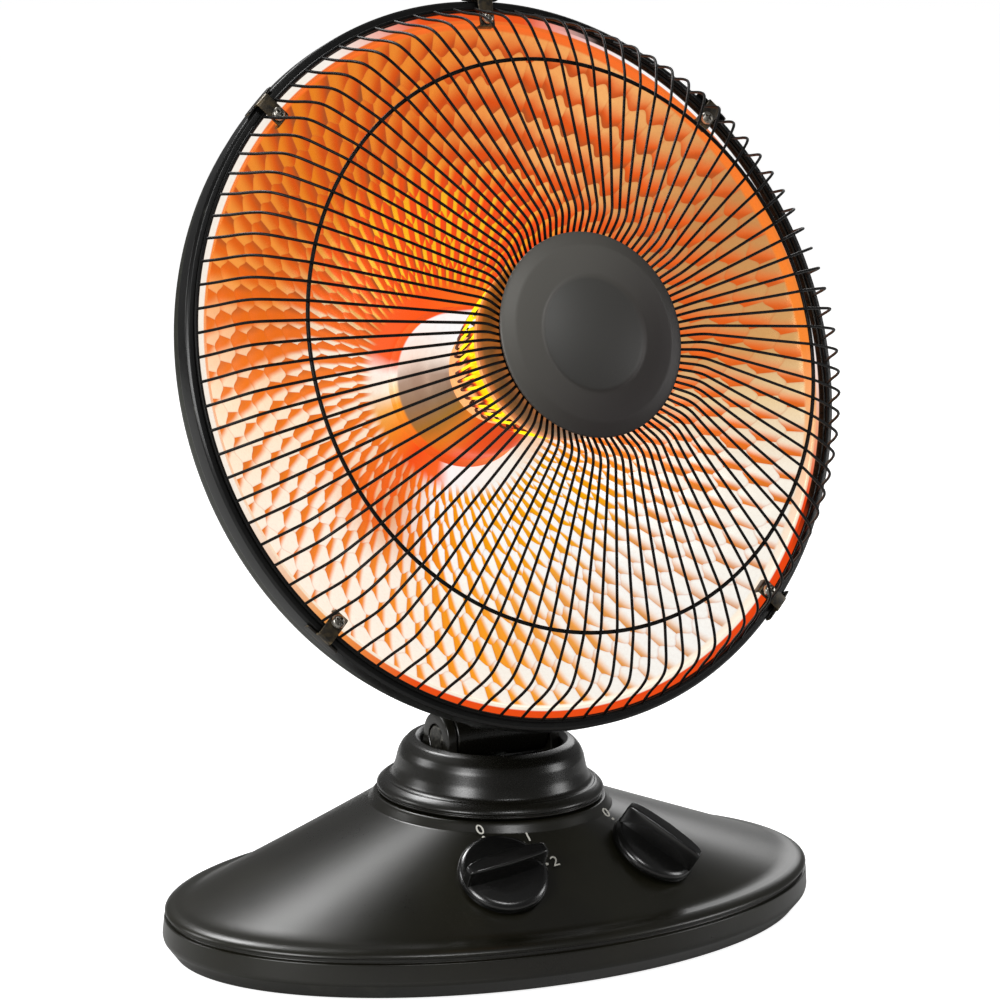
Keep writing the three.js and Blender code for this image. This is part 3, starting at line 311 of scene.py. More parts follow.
# ---------------------------------------------------------------- node trees
class Tree:
    """Shorthand for one node tree: a value put into a socket is linked if it is a socket itself."""

    def __init__(self, tree):
        self.tree = tree

    def put(self, socket, value):
        if isinstance(value, bpy.types.NodeSocket):
            self.tree.links.new(value, socket)
        else:
            socket.default_value = value

    def add(self, kind, inputs=(), **settings):
        node = self.tree.nodes.new(kind if kind.startswith("Node") else "ShaderNode" + kind)
        for name, value in settings.items():
            setattr(node, name, value)
        for key, value in dict(inputs).items():
            self.put(node.inputs[key], value)
        return node

    def math(self, operation, *values, clamp=False):
        node = self.add("Math", operation=operation, use_clamp=clamp)
        for socket, value in zip(node.inputs, values):
            self.put(socket, value)
        return node.outputs[0]

    def mix(self, share, first, second, blend="MIX"):
        node = self.add("Mix", data_type="RGBA", blend_type=blend)
        for k, value in ((0, share), (6, first), (7, second)):
            self.put(node.inputs[k], value)
        return node.outputs[2]

    def step(self, value, low, high, to_low=0.0, to_high=1.0):
        """Runs smoothly from to_low to to_high as value goes from low to high."""
        node = self.add("MapRange", interpolation_type="SMOOTHSTEP")
        for k, v in enumerate((value, low, high, to_low, to_high)):
            self.put(node.inputs[k], v)
        return node.outputs[0]

    def ramp(self, share, stops):
        """A colour ramp through (place, colour) stops."""
        node = self.add("ValToRGB", [("Fac", share)])
        elements = node.color_ramp.elements
        while len(elements) > 1:
            elements.remove(elements[-1])
        for k, (place, colour) in enumerate(stops):
            element = elements[0] if k == 0 else elements.new(place)
            element.position = place
            element.color = colour if len(colour) == 4 else (*colour, 1)
        return node.outputs[0]

    def between(self, value, span, to_low=0.0, to_high=1.0):
        """The same step over a span given in millimetres."""
        return self.step(value, span[0] * MM, span[1] * MM, to_low, to_high)

    def noise(self, vector, scale, detail=3.0, roughness=0.5):
        node = self.add("TexNoise", [
            ("Vector", vector), ("Scale", scale), ("Detail", detail), ("Roughness", roughness)])
        return node.outputs[0]

    def object_noise(self, scale, detail=3.0, roughness=0.5):
        return self.noise(self.add("TexCoord").outputs["Object"], scale, detail, roughness)

    def roughen(self, shader, noise, spread, low):
        """Lets the shader's roughness run from low to low + spread with a noise."""
        self.put(shader.inputs["Roughness"], self.math("MULTIPLY_ADD", noise, spread, low))

    def bump(self, shader, height, strength, distance):
        """Raises the shader's surface by a height from 0 to 1; the distance is in millimetres."""
        node = self.add("Bump", [("Height", height), ("Strength", strength), ("Distance", distance * MM)])
        self.put(shader.inputs["Normal"], node.outputs[0])

    def group(self, tree, **inputs):
        node = self.add("Group", node_tree=tree)
        for name, value in inputs.items():
            self.put(node.inputs[name], value)
        return node.outputs


def new_group(name, inputs, outputs):
    """A shader group with float inputs and outputs; gives the tree, its inputs and its output node."""
    tree = bpy.data.node_groups.new(name, "ShaderNodeTree")
    for label, default in inputs.items():
        socket = tree.interface.new_socket(label, in_out="INPUT", socket_type="NodeSocketFloat")
        socket.default_value = default
    for label in outputs:
        tree.interface.new_socket(label, in_out="OUTPUT", socket_type="NodeSocketFloat")
    t = Tree(tree)
    return t, t.add("NodeGroupInput").outputs, t.add("NodeGroupOutput").inputs


def grain_group():
    """Moulding grain: fine noise, with a slow noise beside it for the cloudy tone of a large surface."""
    t, given, result = new_group("moulding_grain", {"Scale": 900.0}, ("Grain", "Cloud"))
    place = t.add("TexCoord").outputs["Object"]
    t.put(result["Grain"], t.noise(place, given["Scale"], 4, 0.6))
    t.put(result["Cloud"], t.noise(place, 14.0, 3, 0.55))
    return t.tree


def wear_group():
    """Worn edges: where the surface is sharply convex, broken up by noise."""
    t, given, result = new_group("edge_wear", {"Amount": 0.5}, ("Mask",))
    edge = t.step(t.add("NewGeometry").outputs["Pointiness"], 0.515, 0.58)
    place = t.add("TexCoord").outputs["Object"]
    broken = t.step(t.noise(place, 260.0, 5, 0.6), 0.36, 0.62)
    worn = t.math("MULTIPLY", edge, broken)
    t.put(result["Mask"], t.math("MULTIPLY", worn, given["Amount"], clamp=True))
    return t.tree


def dust_group():
    """Settled dust: the share of the surface that faces up, in soft drifts and fine specks."""
    t, given, result = new_group("settled_dust", {"Amount": 0.2}, ("Mask",))
    upward = t.add("SeparateXYZ", [("Vector", t.add("NewGeometry").outputs["Normal"])]).outputs["Z"]
    place = t.add("TexCoord").outputs["Object"]
    drift = t.step(t.noise(place, 22.0, 4, 0.6), 0.35, 0.75)
    speck = t.step(t.noise(place, 1400.0, 2, 0.6), 0.55, 0.75)
    cover = t.math("MULTIPLY", t.step(upward, 0.15, 0.95), t.math("MULTIPLY", drift, speck))
    t.put(result["Mask"], t.math("MULTIPLY", cover, given["Amount"], clamp=True))
    return t.tree


def head_group():
    """The place in the head's own frame: radius, turn from the right towards the top (0 to 1), depth,
    and the radius's two parts, across and up."""
    t, _, result = new_group("head_place", {}, ("Radius", "Turn", "Depth", "Across", "Up"))
    node = t.add("Mapping", [
        ("Vector", t.add("TexCoord").outputs["Object"]), ("Location", tuple(MOUTH)),
        ("Rotation", (math.pi / 2 - HEAD_TILT, 0, 0))], vector_type="TEXTURE")
    x, y, z = t.add("SeparateXYZ", [("Vector", node.outputs[0])]).outputs[:3]
    squares = t.math("ADD", t.math("MULTIPLY", x, x), t.math("MULTIPLY", y, y))
    t.put(result["Radius"], t.math("SQRT", squares))
    share = t.math("DIVIDE", t.math("ARCTAN2", y, x), TURN)
    t.put(result["Turn"], t.math("FRACT", t.math("ADD", share, 1.0)))
    t.put(result["Depth"], z)
    t.put(result["Across"], x)
    t.put(result["Up"], y)
    return t.tree


GROUPS = {}


def effect(name):
    """A shared effect group, built when it is first asked for."""
    makers = {"grain": grain_group, "wear": wear_group, "dust": dust_group, "head": head_group}
    if name not in GROUPS:
        GROUPS[name] = makers[name]()
    return GROUPS[name]


def new_material(name):
    """An empty material: its tree and its Principled BSDF."""
    material = bpy.data.materials.new(name)
    material.use_nodes = True
    t = Tree(material.node_tree)
    return material, t, material.node_tree.nodes["Principled BSDF"]


def set_shader(shader, **values):
    """Constants on the shader's own sockets, named with _ for a space."""
    for name, value in values.items():
        shader.inputs[name.replace("_", " ")].default_value = value


def finish_of(name, colour, cloudy, rough, grain=900.0, height=0.02, metal=0.0, coat=0.0,
              worn=None, wear=0.0, dust=0.0, specular=0.5):
    """A moulded, painted or plated finish: two close tones, grain in roughness and bump, worn edges
    that show a paler colour, and dust on what faces up."""
    material, t, shader = new_material(name)
    texture = t.group(effect("grain"), Scale=grain)
    tone = t.mix(t.step(texture["Cloud"], 0.3, 0.7), linear(colour), linear(cloudy))
    if worn:
        tone = t.mix(t.group(effect("wear"), Amount=wear)["Mask"], tone, srgb(worn))
    if dust:
        tone = t.mix(t.group(effect("dust"), Amount=dust)["Mask"], tone, srgb("B5AFA2"))
    t.put(shader.inputs["Base Color"], tone)
    spread = t.math("MULTIPLY_ADD", texture["Grain"], 0.1, rough - 0.05)
    t.roughen(shader, texture["Cloud"], 0.1, t.math("SUBTRACT", spread, 0.05))
    t.bump(shader, texture["Grain"], 0.35, height)
    set_shader(shader, Metallic=metal, Coat_Weight=coat, Coat_Roughness=0.12, Specular_IOR_Level=specular)
    return material


def own_and_painted_glow(shader, t, colour, strength):
    """Gives a surface its colour, deeper where it only reflects, and lets the same colour glow: on the coil
    its own glow, and on the mirror, hub, ceramic and drum a painted glow of the coil's light.
    """
    t.put(shader.inputs["Base Color"], t.mix(0.86, colour, (0.02, 0.012, 0.008, 1)))
    t.put(shader.inputs["Emission Color"], colour)
    set_shader(shader, Emission_Strength=strength)


def round_stops(stops):
    """Ramp stops round a full turn from (degrees, value), the last the same as the first. A value is a
    colour, one level, or a lean: two shares from -1 to 1, stored from 0 to 1, and a level."""
    made = []
    for degrees, value in stops:
        if isinstance(value, str):
            value = srgb(value)
        elif isinstance(value, tuple):
            value = ((value[0] + 1) / 2, (value[1] + 1) / 2, value[2])
        else:
            value = (value,) * 3
        made.append((degrees / 360, value))
    return made + [(1.0, made[0][1])]


def round_ramp(t, place, stops):
    """A colour ramp that goes once round the head's axis."""
    return t.ramp(place["Turn"], round_stops(stops))


# ---------------------------------------------------------------- finishes
def dimple_cell(t, place, look):
    """The dimple under a point: its number, and the place in it across and outwards, each -0.5 to 0.5.
    The border between two rows is a wave, so that each dimple ends in an arch towards the rim."""
    reach = t.math("DIVIDE", t.math("SUBTRACT", place["Radius"], look.row_start), look.row)
    count = t.math("MULTIPLY", place["Turn"], float(look.columns))
    wave = t.math("MULTIPLY", t.math("COSINE", t.math("MULTIPLY", count, TURN)), look.arch)
    flip = lambda row: t.math("MULTIPLY_ADD", t.math("FLOORED_MODULO", row, 2.0), -2.0, 1.0)
    border = t.math("ROUND", reach)
    over_border = t.math("SUBTRACT", reach, border)
    beyond = t.math("GREATER_THAN", over_border, t.math("MULTIPLY", wave, flip(border)))
    row = t.math("ADD", t.math("SUBTRACT", border, 1.0), beyond)
    low = t.math("MULTIPLY", wave, flip(row))
    into_row = t.math("SUBTRACT", t.math("SUBTRACT", reach, row), low)
    outwards = t.math("SUBTRACT", t.math("DIVIDE", into_row, t.math("MULTIPLY_ADD", low, -2.0, 1.0)), 0.5)
    column = t.math("MULTIPLY_ADD", t.math("FLOORED_MODULO", row, 2.0), 0.5, count)
    index = t.math("FLOORED_MODULO", t.math("FLOOR", column), float(look.columns))
    number = t.add("CombineXYZ", [("X", index), ("Y", row)]).outputs[0]
    return number, t.math("SUBTRACT", t.math("FRACT", column), 0.5), outwards


# Spans of the bowl's radius, in millimetres, over which one look gives way to the next.
OUTER_ROWS = (88, 126)
ROWS_BY_THE_RIM = (138, 166)
PRESSED_LINE = (171.2, 172.4)
FLAT_LIP = (174.8, 175.6)
UNDER_THE_RIM = (176.6, 177.2)


def around(t, place, inner_stops, outer_stops):
    """One ramp round the inner rows of the bowl that gives way to another round the outer rows."""
    outer = t.between(place["Radius"], OUTER_ROWS)
    return t.mix(outer, round_ramp(t, place, inner_stops), round_ramp(t, place, outer_stops))


def dimple_reflection_tones(t, place):
    """The hot and the pale tone of the dimples at a place of the bowl: painted reflections, the hot one of
    the coil's glow and the pale one of the room.
    """
    hot = around(
        t, place,
        [(0, "F4601A"), (45, "FF541A"), (95, "FF4A18"), (140, "F05A18"), (170, "F07A2A"),
         (200, "F47A20"), (225, "F0621E"), (262, "FFA408"), (312, "FFB000"), (340, "F4681A")],
        [(0, "F4681C"), (35, "F05E1A"), (90, "DA4E12"), (140, "D8540F"), (180, "F27A1E"),
         (225, "F4882A"), (255, "FFA21A"), (300, "F0A860"), (325, "F08A2C"), (345, "F4701E")])
    pale = around(
        t, place,
        [(0, "FF9838"), (45, "FF8A20"), (75, "FFC01E"), (120, "FFB414"), (145, "D8A050"), (165, "FFF4E0"),
         (200, "FFEAD0"), (228, "E8A878"), (245, "FFFFFF"), (318, "FFFFFF"), (345, "FFC88A")],
        [(0, "D8A466"), (28, "C88A50"), (60, "FAB46C"), (95, "F08A30"), (130, "E88218"), (160, "F6A048"),
         (182, "FFE8C8"), (205, "FFF6E6"), (250, "FFF8EC"), (300, "FFFDF8"), (335, "FFF8EA"),
         (350, "F2D4A4")])
    return hot, pale


def dimple_edge(t, place):
    """How the edge between the two painted reflections lies in a dimple: its lean across and outwards, the
    share of the pale tone, and half the width over which the tones run together."""
    lean = around(
        t, place,
        [(0, (0.8, 0.4, 0.3)), (60, (0.9, 0.2, 0.34)), (90, (1, 0, 0.44)), (130, (1, 0, 0.36)),
         (155, (0.9, -0.3, 0.3)), (185, (0.8, -0.5, 0.5)), (215, (0.8, -0.5, 0.3)),
         (240, (0.9, -0.4, 0.5)), (300, (0.9, -0.4, 0.56)), (335, (0.9, 0.3, 0.5))],
        [(0, (0.9, 0.35, 0.5)), (35, (0.6, 0.7, 0.46)), (70, (-0.3, 0.9, 0.42)), (110, (0.9, 0.3, 0.4)),
         (150, (1, 0.1, 0.36)), (168, (0.7, -0.6, 0.24)), (190, (0.7, -0.5, 0.58)),
         (225, (0.9, -0.2, 0.66)), (262, (0.9, -0.3, 0.46)), (288, (0.9, -0.2, 0.62)),
         (305, (0.9, -0.1, 0.74)), (330, (1, 0.1, 0.6))])
    soft = around(
        t, place,
        [(0, 0.3), (60, 0.16), (100, 0.07), (150, 0.12), (190, 0.16), (235, 0.1), (270, 0.07),
         (320, 0.07), (345, 0.18)],
        [(0, 0.34), (40, 0.3), (90, 0.3), (150, 0.3), (180, 0.14), (215, 0.14), (250, 0.12),
         (300, 0.34), (335, 0.16)])
    lean_x, lean_y, share = t.add("SeparateColor", [("Color", lean)]).outputs[:3]
    signed = lambda value: t.math("MULTIPLY_ADD", value, 2.0, -1.0)
    return signed(lean_x), signed(lean_y), share, soft


def dimple_painted_light(t, place, look):
    """The colour of the dimples: the two painted reflections, a brown painted shade on the far side, and a
    painted shade along the border round each.
    """
    number, across, outwards = dimple_cell(t, place, look)
    chance = t.add("TexWhiteNoise", [("Vector", number)], noise_dimensions="2D").outputs["Value"]
    hot, pale = dimple_reflection_tones(t, place)
    lean_x, lean_y, share, soft = dimple_edge(t, place)
    along = t.math("ADD", t.math("MULTIPLY", across, lean_x), t.math("MULTIPLY", outwards, lean_y))
    wobble = t.math("MULTIPLY", t.math("SUBTRACT", chance, 0.5), 0.2)
    rimward = t.between(place["Radius"], ROWS_BY_THE_RIM, 0.5, 0.34)
    edge = t.math("ADD", t.math("SUBTRACT", rimward, share), wobble)
    tone = t.mix(t.step(along, t.math("SUBTRACT", edge, soft), t.math("ADD", edge, soft)), hot, pale)
    # painted shade: brown on the far side of each dimple, strongest round the top of the bowl
    shade = round_ramp(t, place, [
        (0, 0.3), (45, 0.66), (90, 0.7), (140, 0.76), (172, 0.3), (215, 0.22), (255, 0.1), (300, 0.26),
        (340, 0.2)])
    far_side = t.math("MULTIPLY", t.step(along, -0.12, -0.46), shade)
    shaded = t.math("MULTIPLY", far_side, t.math("MULTIPLY_ADD", chance, 0.9, 0.25))
    tone = t.mix(shaded, tone, srgb("8E4E26"))
    # painted shade along the border round each dimple
    painted_crease_shade = t.math("MAXIMUM", t.math("ABSOLUTE", across), t.math("ABSOLUTE", outwards))
    return t.mix(t.step(painted_crease_shade, 0.43, 0.5, 0.0, 0.24), tone, srgb("C8622A"))


def plain_zone_reflections(t, place, look, tone):
    """Lays the zones without dimples over the colour of the dimples, all painted light: the painted
    reflections of the smooth middle, of the pressed line near the edge and of the flat lip, and the
    painted shadow under the rim."""
    # painted reflection of the smooth middle, changing round the bowl
    middle_reflection = round_ramp(t, place, [
        (0, "F8A050"), (60, "FF7A20"), (110, "FF5A1A"), (156, "F8602A"), (168, "FFF2E8"), (180, "FFF0DC"),
        (192, "FBB45A"), (204, "F8902A"), (225, "F4501A"), (244, "F86A28"), (252, "FFFFFF"),
        (300, "FFF8EC"), (340, "FFB060")])
    outside = t.step(place["Radius"], look.smooth_radius - 4 * MM, look.smooth_radius + 5 * MM)
    tone = t.mix(outside, middle_reflection, tone)
    # painted reflection on the pressed line near the edge
    line = round_ramp(t, place, [
        (0, "F48A34"), (60, "F4702A"), (120, "F0702A"), (165, "F48A38"), (210, "FFE8CC"), (245, "FFF6E4"),
        (320, "FFF6E4"), (345, "F8C08A")])
    tone = t.mix(t.between(place["Radius"], PRESSED_LINE), tone, line)
    # painted reflection on the flat lip: white towards the room, orange towards the coil
    lip = round_ramp(t, place, [
        (0, "FFFFFF"), (60, "FFFFFF"), (80, "F0561C"), (100, "F0561C"), (118, "FFF8EE"), (200, "FFF4E6"),
        (222, "F4A050"), (240, "F05014"), (332, "EE4410"), (346, "F8B088")])
    tone = t.mix(t.between(place["Radius"], FLAT_LIP), tone, lip)
    # painted shadow under the rim
    shadow = round_ramp(t, place, [(0, 1.0), (66, 1.0), (74, 0.0), (322, 0.0), (332, 1.0)])
    under_rim = t.between(place["Radius"], UNDER_THE_RIM)
    return t.mix(t.math("MULTIPLY", shadow, under_rim), tone, srgb("120C08"))


def mirror_painted_reflections(look):
    """Bright dimpled sheet with painted light: the coil's glow and the room are painted on as reflections.
    Each dimple runs from a hot tone, the painted reflection of the coil, to a pale one, the painted
    reflection of the room, along a lean of its own, as a pressed mirror does that shows the coil on one
    side and the room on the other. Tones, lean, share of the pale one and sharpness of its edge go round
    the bowl, and the tone also shines as a painted glow."""
    material, t, shader = new_material("dimpled_mirror_painted_reflections")
    place = t.group(effect("head"))
    tone = plain_zone_reflections(t, place, look, dimple_painted_light(t, place, look))
    brushed = t.object_noise(700.0, 4, 0.6)
    tone = t.mix(t.step(brushed, 0.35, 0.75, 0.0, 0.08), tone, srgb("8A4A22"))
    # painted glow: the painted reflections also shine as emission, in place of the coil's light on the sheet
    own_and_painted_glow(shader, t, tone, look.glow)
    t.roughen(shader, brushed, 0.18, 0.2)
    t.bump(shader, brushed, 0.25, 0.02)
    set_shader(shader, Metallic=0.8, Specular_IOR_Level=0.2)
    return material


def hub_painted_reflection(look):
    """The bright can behind the coil, all painted light: a painted reflection that runs white from above,
    through taupe and olive to red below, and a painted glow of the coil.
    """
    material, t, shader = new_material("hub_can_painted_reflection")
    place = t.group(effect("head"))
    tone = round_ramp(t, place, [
        (0, "F0A878"), (60, "FFFFFF"), (130, "FFFFFF"), (158, "FBEBDD"), (176, "A88C7A"), (196, "8E725A"),
        (214, "A0702E"), (230, "E07A20"), (248, "EC5018"), (285, "DC461A"), (330, "F08A50")])
    # painted reflection at the can's foot, like the bowl's smooth middle
    foot = round_ramp(t, place, [
        (0, "F8A050"), (60, "FF7A20"), (156, "F8602A"), (168, "FFF2E8"), (178, "FFDCA8"), (190, "F8A030"),
        (225, "F4601A"), (250, "EC5018"), (300, "F88A50")])
    tone = t.mix(t.between(place["Depth"], (-61, -64)), tone, foot)
    # orange-red painted glow high on the can
    tone = t.mix(t.between(place["Up"], (33.5, 35.5)), tone, srgb("F2561E"))
    fine = t.object_noise(420.0, 4, 0.6)
    tone = t.mix(t.step(fine, 0.4, 0.8, 0.0, 0.1), tone, srgb("7A4A2A"))
    own_and_painted_glow(shader, t, tone, look.glow)
    t.roughen(shader, fine, 0.2, 0.35)
    set_shader(shader, Metallic=0.8, Specular_IOR_Level=0.2)
    return material


def ceramic_painted_glow(look):
    """Fired clay with painted light: the coil's glow painted on it, peach behind the coil, deep orange and
    yellow under it, browner at the front, and shining as a painted glow.
    """
    material, t, shader = new_material("ceramic_with_painted_glow")
    place = t.group(effect("head"))
    # painted glow and shade from the coil along the cone's depth
    tone = t.ramp(t.between(place["Depth"], (-34, 34)), [
        (0.0, srgb("F2A868")), (0.08, srgb("F8B478")), (0.14, srgb("E88A48")), (0.24, srgb("7A1C08")),
        (0.34, srgb("F04A10")), (0.4, srgb("FFC400")), (0.88, srgb("FFE200")), (0.91, srgb("F8A030")),
        (1.0, srgb("F0A058"))])
    fine = t.object_noise(900.0, 5, 0.65)
    tone = t.mix(t.step(fine, 0.45, 0.75, 0.0, 0.3), tone, srgb("9A3A12"))
    own_and_painted_glow(shader, t, tone, look.glow * 1.3)
    t.roughen(shader, fine, 0.2, 0.55)
    t.bump(shader, fine, 0.4, 0.1)
    return material


def coil_finish(look):
    """Resistance wire in its own glow, with painted shade: nearly black red at its rear bends, where the
    shade is painted, then orange, and bright yellow to the front.
    """
    material, t, shader = new_material("resistance_wire_with_painted_shade")
    place = t.group(effect("head"))
    fine = t.object_noise(300.0, 3, 0.6)
    depth = t.math("MULTIPLY_ADD", t.math("SUBTRACT", fine, 0.5), 6 * MM, place["Depth"])
    # painted shade towards the rear bends; the yellow front is the coil's own glow
    tone = t.ramp(t.between(depth, (-15, 28)), [
        (0.0, srgb("2A0806")), (0.12, srgb("5A1008")), (0.2, srgb("E8400E")), (0.28, srgb("FFA800")),
        (0.4, srgb("FFF000")), (0.92, srgb("FFEC00")), (1.0, srgb("FFB810"))])
    own_and_painted_glow(shader, t, tone, look.coil_glow)
    t.roughen(shader, fine, 0.2, 0.4)
    set_shader(shader, Metallic=0.1)
    return material


def drum_painted_reflection(look):
    """The polished drum in front of the coil, all painted light: painted reflections of brown and olive
    bands with an orange front edge and orange streaks, and a painted glow of the coil.
    """
    material, t, shader = new_material("drum_sheet_painted_reflection")
    place = t.group(effect("head"))
    turn, depth = t.math("MULTIPLY", place["Turn"], 26.0), t.math("MULTIPLY", place["Depth"], 30.0)
    reflection_streak = t.noise(t.add("CombineXYZ", [("X", turn), ("Y", depth)]).outputs[0], 1.0, 3, 0.6)
    # painted reflection bands along the drum's depth
    tone = t.ramp(t.between(place["Depth"], (32, 58)), [
        (0.0, srgb("F2A060")), (0.1, srgb("D87A30")), (0.24, srgb("8A5A20")), (0.6, srgb("6A4818")),
        (0.85, srgb("7A4A18")), (1.0, srgb("A8601E"))])
    # painted reflection streaks round the drum
    tone = t.mix(t.step(reflection_streak, 0.5, 0.72, 0.0, 0.5), tone, srgb("D87A24"))
    own_and_painted_glow(shader, t, tone, look.glow * 0.62)
    t.roughen(shader, reflection_streak, 0.2, 0.2)
    set_shader(shader, Metallic=0.5)
    return material


def cap_enamel_painted_light(colours):
    """Satin enamel, a warm grey, with painted light: a painted highlight to the upper left, painted shade
    to the lower right, and painted shade within the recess.
    """
    material, t, shader = new_material("cap_satin_enamel_painted_light")
    place = t.group(effect("head"))
    texture = t.group(effect("grain"), Scale=1500.0)
    # painted light: lighter to the upper left, darker to the lower right
    lean = t.math("SUBTRACT", place["Up"], place["Across"])
    tone = t.mix(t.between(lean, (-60, 70)), linear(colours.cap_painted_shade), linear(colours.cap))
    # painted shade within the recess
    recess = t.between(place["Radius"], (28.5, 26.5))
    tone = t.mix(t.math("MULTIPLY", recess, 0.6), tone, srgb("343432"))
    tone = t.mix(t.group(effect("dust"), Amount=0.1)["Mask"], tone, srgb("A8A294"))
    t.put(shader.inputs["Base Color"], tone)
    t.roughen(shader, texture["Grain"], 0.16, 0.4)
    t.bump(shader, texture["Grain"], 0.3, 0.02)
    set_shader(shader, Metallic=0.15)
    return material


def make_finishes(look, colours):
    """Every finish by the record's slot, or by the piece where a slot has several."""
    def pair(name):
        return getattr(colours, name), getattr(colours, name + "_cloud")

    return {
        "black_plastic": finish_of("satin_black_moulding", *pair("base"), 0.3, 900.0, 0.015,
                                   worn="3A382F", wear=0.2, dust=0.03),
        "turret_plastic": finish_of("turret_black_moulding", *pair("turret"), 0.29, 1100.0, 0.008,
                                    worn="3A3830", wear=0.15, dust=0.02),
        "gloss_black": finish_of("gloss_black_moulding", *pair("knob"), 0.24, 1400.0, 0.006,
                                 coat=0.2, worn="2A2A28", wear=0.12, dust=0.01),
        "rubber": finish_of("black_rubber", "121212", "1C1C1B", 0.8, 500.0, 0.08, dust=0.25),
        "steel": finish_of("plated_steel", "A8A49C", "8E8A82", 0.32, 500.0, 0.02, metal=1.0,
                           worn="D8D4CC", wear=0.6),
        "grey_plastic": finish_of("grey_moulding", "8A8C89", "7C7E7A", 0.55, 600.0, 0.04, dust=0.2),
        "black_paint": finish_of("shell_enamel", *pair("shell"), 0.38, 420.0, 0.06, metal=0.1,
                                 worn="4A4B42", wear=0.4, dust=0.08, specular=0.35),
        "rim_paint": finish_of("rim_enamel", *pair("rim"), 0.3, 700.0, 0.02,
                               worn="4A4A44", wear=0.5, dust=0.03, specular=0.3),
        "guard_wire": finish_of("wire_enamel", *pair("wire"), 0.42, 900.0, 0.015,
                                worn="1E1A16", wear=0.3, specular=0.14),
        "clip_metal": finish_of("browned_strip", *pair("clip"), 0.36, 600.0, 0.03, metal=0.3,
                                worn="8A7650", wear=0.8, dust=0.04),
        "black_steel": finish_of("blacked_steel", "181816", "242420", 0.34, 500.0, 0.02, metal=0.5,
                                 worn="6A6860", wear=0.6),
        "mark_paint": finish_of("pale_mark_paint", *pair("mark"), 0.5, 900.0, 0.02),
        "cap_paint": cap_enamel_painted_light(colours),
        "mirror_sheet": mirror_painted_reflections(look),
        "hub": hub_painted_reflection(look),
        "ceramic": ceramic_painted_glow(look),
        "hot_wire": coil_finish(look),
        "drum": drum_painted_reflection(look),
    }


FINISHES = {}


def finish(name):
    """A finish by its name. They are all made when the first one is asked for."""
    if not FINISHES:
        scene = bpy.context.scene
        FINISHES.update(make_finishes(scene.heater_head, scene.heater_colours))
    return FINISHES[name]


# ---------------------------------------------------------------- settings
def length(name, description, millimetres):
    """A length setting in metres, given in millimetres."""
    return FloatProperty(name=name, description=description, default=millimetres * MM, min=0.0,
                         unit="LENGTH", precision=5)


def amount(name, description, default):
    """A setting that has no unit and doesn't go under zero."""
    return FloatProperty(name=name, description=description, default=default, min=0.0)


def bearing(name, description, degrees):
    """An angle setting, given in degrees."""
    return FloatProperty(name=name, description=description, default=math.radians(degrees), subtype="ANGLE")


def paint(name, description, value):
    """A colour setting: its default is RRGGBB, or linear red, green and blue."""
    return FloatVectorProperty(name=name, description=description, subtype="COLOR",
                               default=linear(value)[:3], min=0.0, max=1.0)


class HeaterBaseSettings(bpy.types.PropertyGroup):
    wall: length("Wall", "Thickness of the moulded base cover", 2.6)
    groove: length("Groove", "Depth of the groove under the rounded edge", 3)
    groove_height: length("Groove height", "Height of the groove over the floor", 21.4)
    knob_radius: length("Knob radius", "Radius of a knob's skirt", 23)
    knob_grip: length("Grip width", "Width of the bar across a knob", 9.5)
    mark_height: length("Mark height", "Height of a number beside a knob", 6)


class HeaterHeadSettings(bpy.types.PropertyGroup):
    wires: IntProperty(name="Wires", description="Number of wires in the guard", default=96, min=8)
    wire: length("Wire", "Thickness of a guard wire", 1.5)
    bowl_depth: length("Bowl depth", "Depth of the reflector behind its lip", 72)
    columns: IntProperty(name="Dimple columns", description="Dimples in one row round the bowl",
                         default=80, min=8)
    row: length("Dimple row", "Width of one row of dimples, measured outwards", 12.4)
    row_start: length("First row", "Radius from which the rows are counted", 1.3)
    dimple: length("Dimple depth", "How far a dimple is pressed in", 0.55)
    smooth_radius: length("Smooth middle", "Radius of the part of the bowl that has no dimples", 54)
    arch: amount("Arch", "Rise of a dimple's arched end, in rows", 0.15)
    # Strength of the painted glow: the coil's light painted as emission on the mirror, hub, ceramic and
    # drum.
    glow: amount("Glow", "How brightly the mirror shows the coil's glow", 0.92)
    coil_glow: amount("Coil glow", "Brightness of the coil", 1.15)
    curls: IntProperty(name="Curls", description="Curls of the coil", default=44, min=4)
    coil_wire: length("Coil wire", "Thickness of the coil's wire", 1.5)


class HeaterColourSettings(bpy.types.PropertyGroup):
    base: paint("Base", "Plastic of the base", "100F09")
    base_cloud: paint("Base clouds", "Second tone in the plastic of the base", "17160D")
    turret: paint("Turret", "Plastic of the turret and the neck", "0D0C08")
    turret_cloud: paint("Turret clouds", "Second tone in the plastic of the turret", "14130D")
    knob: paint("Knobs", "Plastic of the knobs", "080808")
    knob_cloud: paint("Knob clouds", "Second tone in the plastic of the knobs", "0D0D0C")
    mark: paint("Marks", "Numbers and dots beside the knobs", "C9C7BE")
    mark_cloud: paint("Mark clouds", "Second tone in the numbers and dots", "B4B2A8")
    shell: paint("Rear shell", "Enamel of the rear shell", "1A1B14")
    shell_cloud: paint("Rear shell clouds", "Second tone in the enamel of the rear shell", "23241B")
    rim: paint("Rim", "Enamel of the rim", "060606")
    rim_cloud: paint("Rim clouds", "Second tone in the enamel of the rim", "0B0B0A")
    wire: paint("Guard", "Enamel of the guard's wires", "020202")
    wire_cloud: paint("Guard clouds", "Second tone in the enamel of the wires", "060606")
    clip: paint("Clips", "Browned steel of the clips", "100E0A")
    clip_cloud: paint("Clip clouds", "Second tone in the steel of the clips", "1C1812")
    # The cap's enamel as painted light and shade: its tone at the painted highlight of the upper left and at
    # the painted shade of the lower right.
    cap: paint("Cap", "Enamel of the cap at its light upper left", "55534E")
    cap_painted_shade: paint("Cap shade", "Enamel of the cap at its dark lower right", "1E1816")


